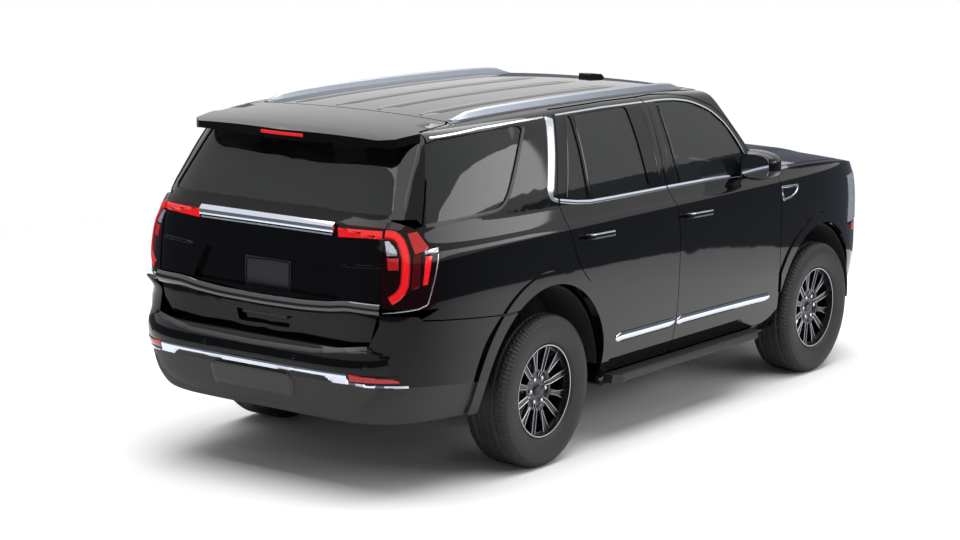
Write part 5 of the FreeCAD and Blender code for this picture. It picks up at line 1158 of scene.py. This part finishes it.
tone(tree, shader, noise, hexa("0e0102"), hexa("1c0304"))
grid = [(-2416, -862, 1278), (-2381, -883, 1284), (-2409, -898, 1119), (-2448, -870, 1105)]
both_sides("lamp_grid", patch_data(corner_outline(grid), on_corner, 0.0062, -0.001, 0.012, 0.8), red_lens,
           "body")
both_sides("lamp_bar",
           sweep_data(*ring_points([(-2371, -886, 1291), (-2385, -894, 1212), (-2402, -902, 1130)], 0.012),
                      bar_section(0.012, 0.010, 0.0)), gloss_trim, "body")
cap = [(-2362, -888, 1296), (-2281, -913, 1306), (-2293, -921, 1286), (-2364, -895, 1278)]
both_sides("lamp_cap", patch_data(corner_outline(cap), on_corner, 0.0085, -0.001, 0.012, 0.7), satin_alloy,
           "body")
rim_path = [(-2293, -923, 1277), (-2307, -930, 1233), (-2330, -930, 1160), (-2350, -930, 1107),
            (-2374, -922, 1030), (-2417, -897, 1011), (-2486, -829, 997), (-2520, -755, 984)]
both_sides("lamp_rim", sweep_data(*ring_points(rim_path, 0.012), bar_section(0.007, 0.007, 0.001)),
           satin_alloy, "body")
gate_band = mm([(-458, 1387), (-590, 1391), (-722, 1393), (-728, 1353), (-625, 1351), (-467, 1341)])
data = patch_data(gate_band, on_rear, 0.003, 0.001, 0.012, 0.7)
piece("gate_light_right", data, light_guide, "tailgate")
piece("gate_light_left", mirrored_data(data), light_guide, "tailgate")
print("tail lamps dressed")

# %% [markdown]
# Across the gate runs a plated bar with a shoulder, so its upper half mirrors the wall
# and its lower half the floor. Below it are the plate recess, a ledge that catches the
# light from above, and a grip pocket with a bar inside it.

# %% Gate trim
bar_points, bar_normals = rear_points([(-448, 1384), (448, 1384)], 0.03)
gate_section = [(-0.027, -0.006), (-0.027, 0.007), (-0.020, 0.012), (-0.002, 0.0165), (0.002, 0.0165),
                (0.022, 0.008), (0.026, 0.004), (0.026, -0.006)]
piece("gate_bar", sweep_data(bar_points, bar_normals, gate_section), chrome, "tailgate",
      ["tailgate_bar"])
piece("gate_underline",
      sweep_data(*rear_points([(-440, 1348), (440, 1348)], 0.03), bar_section(0.007, 0.003, 0.001)),
      satin_alloy, "tailgate")
ledge_path = rounded([(-745, 999), (-560, 998), (-510, 992), (-455, 982), (-280, 968), (0, 963), (280, 968),
                      (455, 982), (510, 992), (560, 998), (745, 999)], 60, 4)
ledge_section = [(-0.031, -0.001), (-0.026, 0.005), (-0.010, 0.0135), (0.004, 0.014), (0.026, 0.005),
                 (0.031, -0.001)]
piece("gate_ledge", sweep_data(*rear_points(ledge_path, 0.02), ledge_section), bright_paint, "tailgate")
crease = bar_section(0.016, 0.0035, 0.001, 0.8)
for name, side in (("left", 1), ("right", -1)):
    line_mm = [(side * 500, 1201), (side * 600, 1209), (side * 743, 1214)]
    piece("gate_crease_" + name, sweep_data(*rear_points(line_mm, 0.02), crease, taper=0.03), paint,
          "tailgate")
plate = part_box("number_plate")
plate_x = plate[0][0]
frame_path = rounded([(0, 1.169), (-0.144, 1.169), (-0.144, 1.036), (0.144, 1.036), (0.144, 1.169),
                      (0, 1.169)], 0.012, 4)[:-1]
flat = resample(frame_path, 0.012)[:-1]
rim_points = np.stack([np.full(len(flat), plate_x - 0.0005), flat[:, 0], flat[:, 1]], axis=1)
rim_normals = np.tile((-1.0, 0.0, 0.0), (len(flat), 1))
piece("plate_rim", sweep_data(rim_points, rim_normals, bar_section(0.005, 0.0022, 0.001), closed=True),
      gloss_trim, "tailgate")
piece("grip_bar",
      sweep_data(*rear_points([(-150, 888), (150, 888)], 0.03, -0.012), bar_section(0.024, 0.010, 0.004)),
      satin_trim, "tailgate")


def on_skin(skin, starts, direction):
    hits = []
    for start_point in starts:
        hit, place_hit, _, _ = skin.ray_cast(Vector(start_point), Vector(direction))
        hits.append(place_hit if hit else Vector(start_point))
    return np.array(hits)


stop_y = np.linspace(-0.140, 0.140, 15)
stop_line = on_skin(skins["tailgate"], [(-4.0, y, 1.8165) for y in stop_y], (1, 0, 0))
print("stop lamp line", stop_line[0], stop_line[7])
piece("stop_light",
      sweep_data(stop_line, np.tile((-1.0, 0.0, 0.0), (15, 1)), bar_section(0.016, 0.003, 0.001)),
      light_guide, "tailgate")
for name, side in (("right", -1), ("left", 1)):
    fin = np.array([(-2.170, side * 0.700, 1.800), (-2.219, side * 0.718, 1.730),
                    (-2.290, side * 0.735, 1.620), (-2.345, side * 0.750, 1.520),
                    (-2.372, side * 0.770, 1.462)])
    points, normals = ring_points(fin * 1000, 0.02)
    piece("gate_fin_" + name, sweep_data(points, normals, bar_section(0.010, 0.006, 0.001), taper=0.04),
          satin_trim, "body")
print("gate dressed")

# %% [markdown]
# A door mirror is a smooth black pod on a foot, hollowed at the back for its silvered
# glass. The pod is a squarish ball, drawn in towards its outer end.

# %% Mirrors
def pod_data(centre, half, power, pinch, rings=28, steps=40):
    verts, faces = [], []
    for j in range(rings + 1):
        t = math.pi * j / rings - math.pi / 2
        for k in range(steps):
            a = 2 * math.pi * k / steps
            d = np.array((math.cos(t) * math.cos(a), math.sin(t), math.cos(t) * math.sin(a)))
            d = d / (np.sum(np.abs(d) ** power) ** (1 / power))
            shrink = 1 - pinch * max(0.0, -d[1])
            verts.append(np.array(centre) + np.array((d[0] * half[0] * shrink, d[1] * half[1],
                                                      d[2] * half[2] * shrink)))
    for j in range(rings):
        for k in range(steps):
            n = (k + 1) % steps
            faces.append((j * steps + k, j * steps + n, (j + 1) * steps + n, (j + 1) * steps + k))
    return verts, faces


pod = pod_data((0.735, -1.075, 1.435), (0.098, 0.118, 0.088), 3.4, 0.22)
back_x = 0.655
verts = np.array(pod[0])
rear_face = verts[:, 0] < back_x
verts[rear_face, 0] = back_x
pod = (verts, pod[1])
foot_path = np.array([(0.775, -0.905, 1.352), (0.765, -0.965, 1.362), (0.745, -1.020, 1.385)])
foot = sweep_data(foot_path, np.tile((1.0, 0.0, 0.0), (3, 1)), oval_section(0.020, 0.055, 20))


def squarish(value):
    return math.copysign(abs(value) ** 0.6, value)


glass_outline = [(-1.075 + squarish(math.cos(a)) * 0.092 - 0.004, 1.435 + squarish(math.sin(a)) * 0.068)
                 for a in np.linspace(0, 2 * math.pi, 40, endpoint=False)]


def on_mirror(points, lift):
    return np.stack([0.6545 - lift, points[:, 0], points[:, 1]], axis=1)


mirror_body = merge_data([pod, foot])
mirror_pane = patch_data(glass_outline, on_mirror, 0.001, 0.001, 0.05, 1.0)
for side in ("right", "left"):
    flip = (lambda data: data) if side == "right" else mirrored_data
    piece("mirror_pod_" + side, flip(mirror_body), gloss_trim, "front_door_" + side,
          ["mirror_" + side], 40)
    piece("mirror_glass_" + side, flip(mirror_pane), mirror_glass, "front_door_" + side)
print("mirrors made")

# %% [markdown]
# The seats are foam under black hide: a crowned cushion with side bolsters and sewn
# channels, a backrest that leans, and a headrest on top. Behind dark glass only their
# tops show, so each is a rounded form pressed in along its seams by moves of its points,
# and smoothed by a subdivision surface, in place of a cloth simulation.

# %% Padded seats
def pad_data(size, channels, across_channels, crown, bolster):
    """A padded block about the origin: x long, y wide, z thick; seams run along both."""
    bm = bmesh.new()
    bmesh.ops.create_cube(bm, size=2)
    bmesh.ops.subdivide_edges(bm, edges=bm.edges[:], cuts=22, use_grid_fill=True)
    verts = np.array([v.co[:] for v in bm.verts])
    faces = [tuple(v.index for v in f.verts) for f in bm.faces]
    bm.free()
    power = 5.0
    length = np.sum(np.abs(verts) ** power, axis=1) ** (1 / power)
    unit = verts / length[:, None] * np.max(np.abs(verts), axis=1)[:, None]
    x, y, z = unit[:, 0], unit[:, 1], unit[:, 2]
    top = np.clip(z, 0, 1)
    lift = crown * (1 - x ** 2) * (1 - y ** 2) * top
    raise_side = bolster * np.clip((np.abs(y) - 0.68) / 0.2, 0, 1) * np.clip((1 - np.abs(y)) / 0.12, 0,
                                                                             1) * top
    seam = np.zeros(len(x))
    for at in channels:
        seam = np.maximum(seam, np.exp(-((x - at) / 0.035) ** 2) * (np.abs(y) < 0.68))
    for at in across_channels:
        seam = np.maximum(seam, np.exp(-((y - at) / 0.03) ** 2))
    z_out = z * size[2] / 2 - size[2] * 0.10 * top + lift + raise_side - 0.010 * seam * top
    return np.stack([x * size[0] / 2, y * size[1] / 2, z_out], axis=1), faces


def seat_row(x0, centre_y, width, base, heads):
    parts = []
    outer = 0.70 if width < 0.6 else 0.86
    splits = [-outer, outer] if width < 0.6 else [-outer, -0.33, 0.33, outer]
    cushion, faces = pad_data((0.470, width * 0.985, 0.140), (-0.45, 0.0, 0.45), splits, 0.012,
                              0.008 if width < 0.6 else 0.0)
    parts.append((cushion + np.array((x0 + 0.262, centre_y, base + 0.076)), faces))
    back, faces = pad_data((0.610, width * 0.965, 0.112), (-0.5, -0.1, 0.3), splits, 0.010,
                           0.008 if width < 0.6 else 0.0)
    lean = math.atan2(0.192, 0.640)
    along = np.array((-math.sin(lean), 0, math.cos(lean)))
    front = np.array((math.cos(lean), 0, math.sin(lean)))
    middle = np.array((x0 - 0.096 + 0.056, centre_y, base + 0.330))
    turned = middle + back[:, :1] * along + back[:, 1:2] * np.array((0, 1, 0)) + back[:, 2:] * front
    parts.append((turned, faces))
    for offset in heads:
        head, faces = pad_data((0.135, 0.262, 0.082), (), (), 0.004, 0.0)
        middle = np.array((x0 - 0.192 + 0.058, centre_y + offset, base + 0.709))
        placed = middle + head[:, :1] * np.array((0, 0, 1)) + head[:, 1:2] * np.array((0, 1, 0))
        parts.append((placed + head[:, 2:] * np.array((1, 0, 0)), faces))
    return parts


def padded_piece(name, parts, node):
    data = merge_data([(list(v), f) for v, f in parts])
    obj = mesh_object(name, data[0], data[1], hide, 0)
    smoother = obj.modifiers.new("smooth", "SUBSURF")
    smoother.levels = 1
    smoother.render_levels = 1
    return finish_piece(obj, "body", node)


front_pads = [pad for y in (-0.406, 0.406) for pad in seat_row(0.041, y, 0.52, 0.806, (0.0,))]
bench_pads = (seat_row(-0.847, 0.0, 1.32, 0.830, (-0.4224, 0.4224))
              + seat_row(-1.551, 0.0, 1.162, 0.878, (-0.372, 0.372)))
padded_piece("front_seat_pads", front_pads, ["front_seats"])
padded_piece("rear_seat_pads", bench_pads, ["rear_seats"])


def pedestal(x0, y, half, low, high):
    foot_corners = [(0.06, -1), (0.40, -1), (0.40, 1), (0.06, 1)]
    top_corners = [(0.03, -0.96), (0.425, -0.96), (0.425, 0.96), (0.03, 0.96)]
    verts = [(x0 + a, y + half * b, low) for a, b in foot_corners]
    verts += [(x0 + a, y + half * b, high) for a, b in top_corners]
    return verts, [(3, 2, 1, 0), (4, 5, 6, 7), (0, 1, 5, 4), (1, 2, 6, 5), (2, 3, 7, 6), (3, 0, 4, 7)]


stands = [pedestal(0.041, -0.406, 0.20, 0.496, 0.81), pedestal(0.041, 0.406, 0.20, 0.496, 0.81),
          pedestal(-0.847, 0, 0.52, 0.496, 0.834), pedestal(-1.551, 0, 0.46, 0.636, 0.882)]
piece("seat_stands", merge_data(stands), chassis_paint, "body")
print("seats made")

# %% [markdown]
# The roof is one pressing with long stiffening ribs. Each is a low rounded bar that
# fades out at its ends, so a tapered sweep on the roof's own surface draws it.

# %% Roof ribs
def roof_points(x0, x1, y):
    x = np.linspace(x0, x1, 60)
    points = np.stack([x, np.full(60, y), roof_z(x, np.full(60, y))], axis=1)
    return points, field_normal(roof_field, points)


ribs = []
for y in (-0.42, -0.14, 0.14, 0.42):
    ribs.append(sweep_data(*roof_points(-1.78, 0.10, y),
                           [(-0.045, -0.001), (-0.030, 0.0035), (0.0, 0.0055), (0.030, 0.0035),
                            (0.045, -0.001)], taper=0.12))
piece("roof_ribs", merge_data(ribs), paint, "body")
print("roof ribs", len(ribs))

# %% [markdown]
# From the front the car shows a tall grille of bright bars in a plated frame, with a
# headlamp at each corner: a clear cover over bright lines and dark housings.

# %% Grille bars and lamp lines
def nose_points(table, spacing=0.03):
    flat = resample(np.array(table, dtype=float) / 1000, spacing)
    points = np.stack([end_x(flat[:, 0], flat[:, 1], 1), flat[:, 0], flat[:, 1]], axis=1)
    return points, field_normal(body_field, points)


bars = []
for row in range(8):
    z = 800 + row * 52
    half = 560 + row * 8
    bars.append(sweep_data(*nose_points([(-half, z), (half, z)]), bar_section(0.014, 0.010, 0.012),
                           taper=0.04))
piece("grille_bars", merge_data(bars), chrome, "body")
surround = rounded([(0, 1236), (-640, 1228), (-690, 1190), (-600, 762), (-560, 738), (560, 738), (600, 762),
                    (690, 1190), (640, 1228), (0, 1236)], 40)
points, normals = nose_points(surround[:-1])
piece("grille_frame", sweep_data(points[:-1], normals[:-1], bar_section(0.030, 0.012, 0.010), closed=True),
      chrome, "body")
lamp_lines = [([(730, 1215), (752, 1100), (762, 900)], 0.020),
              ([(735, 1212), (840, 1205), (905, 1190)], 0.014)]
for name, side in (("right", -1), ("left", 1)):
    lines = [sweep_data(*nose_points([(side * y, z) for y, z in table]), bar_section(width, 0.006, 0.002))
             for table, width in lamp_lines]
    piece("headlamp_lines_" + name, merge_data(lines), clear_lens, "body")
amber = side_points([(2250, 868), (2292, 866)], 0.01)
both_sides("amber_marker", sweep_data(*amber, bar_section(0.040, 0.006, 0.002)), amber_lens, "body")
print("front dressed")

# %% [markdown]
# What is left of the CAD nodes keeps its mesh and takes a finish by its kind.

# %% Finishes of the carried-over nodes
kinds = {
    "tinted_glass": pane, "dark_trim": grained_trim, "red_lens": red_lens, "clear_lens": clear_lens,
    "bright_trim": satin_alloy, "frame_steel": chassis_paint, "cast_block": cast, "seat_leather": hide,
    "wheel_alloy": wheel_dark, "tyre": rubber, "body_paint": paint,
}
named = {
    "roof_rails": rail_alloy, "floor_pan": carpet, "front_liners": carpet, "dashboard": satin_trim,
    "number_plate": satin_trim, "grille": gloss_trim, "tailgate_bar": chrome,
    "running_boards": grained_trim, "rear_bumper": paint, "tail_lamps": smoked, "tailgate_lamps": smoked,
}
for name, obj in nodes.items():
    material = named.get(name, kinds[slot_of_node[name]])
    if not obj.data.materials:
        obj.data.materials.append(material)
    for k in range(len(obj.material_slots)):
        obj.material_slots[k].material = material

# %% [markdown]
# The camera stands where the photographer stood: behind and to the right, a little above
# the roof, with a long lens. Its place was fitted to the wheels and the outline.

# %% Camera
azimuth, elevation, roll = math.radians(35.31), math.radians(10.287), math.radians(1.150)
camera_data = bpy.data.cameras.new("camera")
sensor_mm, photo_width_px, focal_px = 36, 960, 2438.7
camera_data.sensor_width = sensor_mm
camera_data.lens = focal_px / photo_width_px * sensor_mm
camera_data.clip_end = 200
camera = link(bpy.data.objects.new("camera", camera_data))
forward = Vector((math.cos(azimuth) * math.cos(elevation), math.sin(azimuth) * math.cos(elevation),
                  -math.sin(elevation)))
level_right = forward.cross(Vector((0, 0, 1))).normalized()
level_up = level_right.cross(forward)
right = math.cos(roll) * level_right + math.sin(roll) * level_up
up = -math.sin(roll) * level_right + math.cos(roll) * level_up
turn = Matrix((right, up, -forward)).transposed().to_4x4()
camera.matrix_world = Matrix.Translation(Vector((-11.9905, -8.052, 3.384))) @ turn
bpy.context.scene.camera = camera

# %% [markdown]
# A white studio: a pale floor that keeps the shadow, a white backdrop, and soft boxes
# whose reflections draw the light bands on the black paint.

# %% Studio
bm = bmesh.new()
bmesh.ops.create_circle(bm, cap_ends=True, segments=96, radius=45)
floor_mesh = bpy.data.meshes.new("studio_floor")
bm.to_mesh(floor_mesh)
bm.free()
floor = link(bpy.data.objects.new("studio_floor", floor_mesh))
floor_paint, tree, shader = finish("white_floor_paint", "f6f6f6", 0.9)
shader.inputs["Specular IOR Level"].default_value = 0.0
noise = grain(tree, shader, 40, 0.05)
# Past a few metres the floor gives way to the white backdrop behind it.
place = add(tree, "ShaderNodeTexCoord")
length = add(tree, "ShaderNodeVectorMath", {"operation": "LENGTH"}, i0=place.outputs["Object"])
fade = add(tree, "ShaderNodeMapRange", {"From Min": 4.2, "From Max": 7.5}, i0=length.outputs["Value"])
gone = add(tree, "ShaderNodeBsdfTransparent")
blend = add(tree, "ShaderNodeMixShader", i0=fade.outputs[0], i1=shader.outputs[0], i2=gone.outputs[0])
tree.links.new(blend.outputs[0], [n for n in tree.nodes if n.type == "OUTPUT_MATERIAL"][0].inputs[0])
floor.data.materials.append(floor_paint)

world = bpy.data.worlds.new("studio")
bpy.context.scene.world = world
world.use_nodes = True
tree = world.node_tree
tree.nodes.clear()
out = tree.nodes.new("ShaderNodeOutputWorld")
fill = add(tree, "ShaderNodeBackground", {"Color": hexa("ffffff"), "Strength": 0.34})
seen = add(tree, "ShaderNodeBackground", {"Color": hexa("ffffff"), "Strength": 1.0})
path = add(tree, "ShaderNodeLightPath")
either = add(tree, "ShaderNodeMath", {"operation": "MAXIMUM"}, i0=path.outputs["Is Camera Ray"],
             i1=path.outputs["Is Glossy Ray"])
third = add(tree, "ShaderNodeMath", {"operation": "MAXIMUM"}, i0=either.outputs[0],
            i1=path.outputs["Is Transmission Ray"])
choose = add(tree, "ShaderNodeMixShader", i0=third.outputs[0], i1=fill.outputs[0], i2=seen.outputs[0])
tree.links.new(choose.outputs[0], out.inputs[0])


def softbox(name, place, aim, size, power):
    lamp = bpy.data.lights.new(name, "AREA")
    lamp.shape = "RECTANGLE"
    lamp.size, lamp.size_y = size
    lamp.energy = power
    holder = link(bpy.data.objects.new(name, lamp))
    away = (Vector(place) - Vector(aim)).normalized()
    side = Vector((1, 0, 0)) if abs(away.z) > 0.99 else Vector((0, 0, 1)).cross(away).normalized()
    over = away.cross(side)
    holder.matrix_world = Matrix.Translation(Vector(place)) @ Matrix((side, over, away)).transposed().to_4x4()
    return holder


softbox("overhead_softbox", (0, 0, 8), (0, 0, 0), (14, 10), 1500)
softbox("side_softbox", (3.5, -8.5, 4.2), (0, 0, 1), (9, 2.2), 260)

# A low grey screen stands round the car. Only reflections see it: it gives black paint
# and chrome the dark band that a white room alone would wash out.
screen_radius, screen_height, floor_gap = 5.9, 2.1, 0.02
bm = bmesh.new()
bmesh.ops.create_circle(bm, cap_ends=False, segments=96, radius=screen_radius)
ring = bm.edges[:]
risen = bmesh.ops.extrude_edge_only(bm, edges=ring)
for item in risen["geom"]:
    if isinstance(item, bmesh.types.BMVert):
        item.co.z = screen_height
for vert in bm.verts:
    vert.co.z += floor_gap
screen_mesh = bpy.data.meshes.new("reflection_screen")
bm.to_mesh(screen_mesh)
bm.free()
screen = link(bpy.data.objects.new("reflection_screen", screen_mesh))
grey_card, tree, shader = finish("grey_screen_cloth", "000000", 1.0, Emission_Strength=1.0)
shader.inputs["Emission Color"].default_value = hexa("70747f")
shader.inputs["Specular IOR Level"].default_value = 0.0
screen_mesh.materials.append(grey_card)
screen.visible_camera = False
screen.visible_diffuse = False
screen.visible_shadow = False
screen.visible_transmission = False
bpy.context.scene.view_settings.view_transform = "Standard"
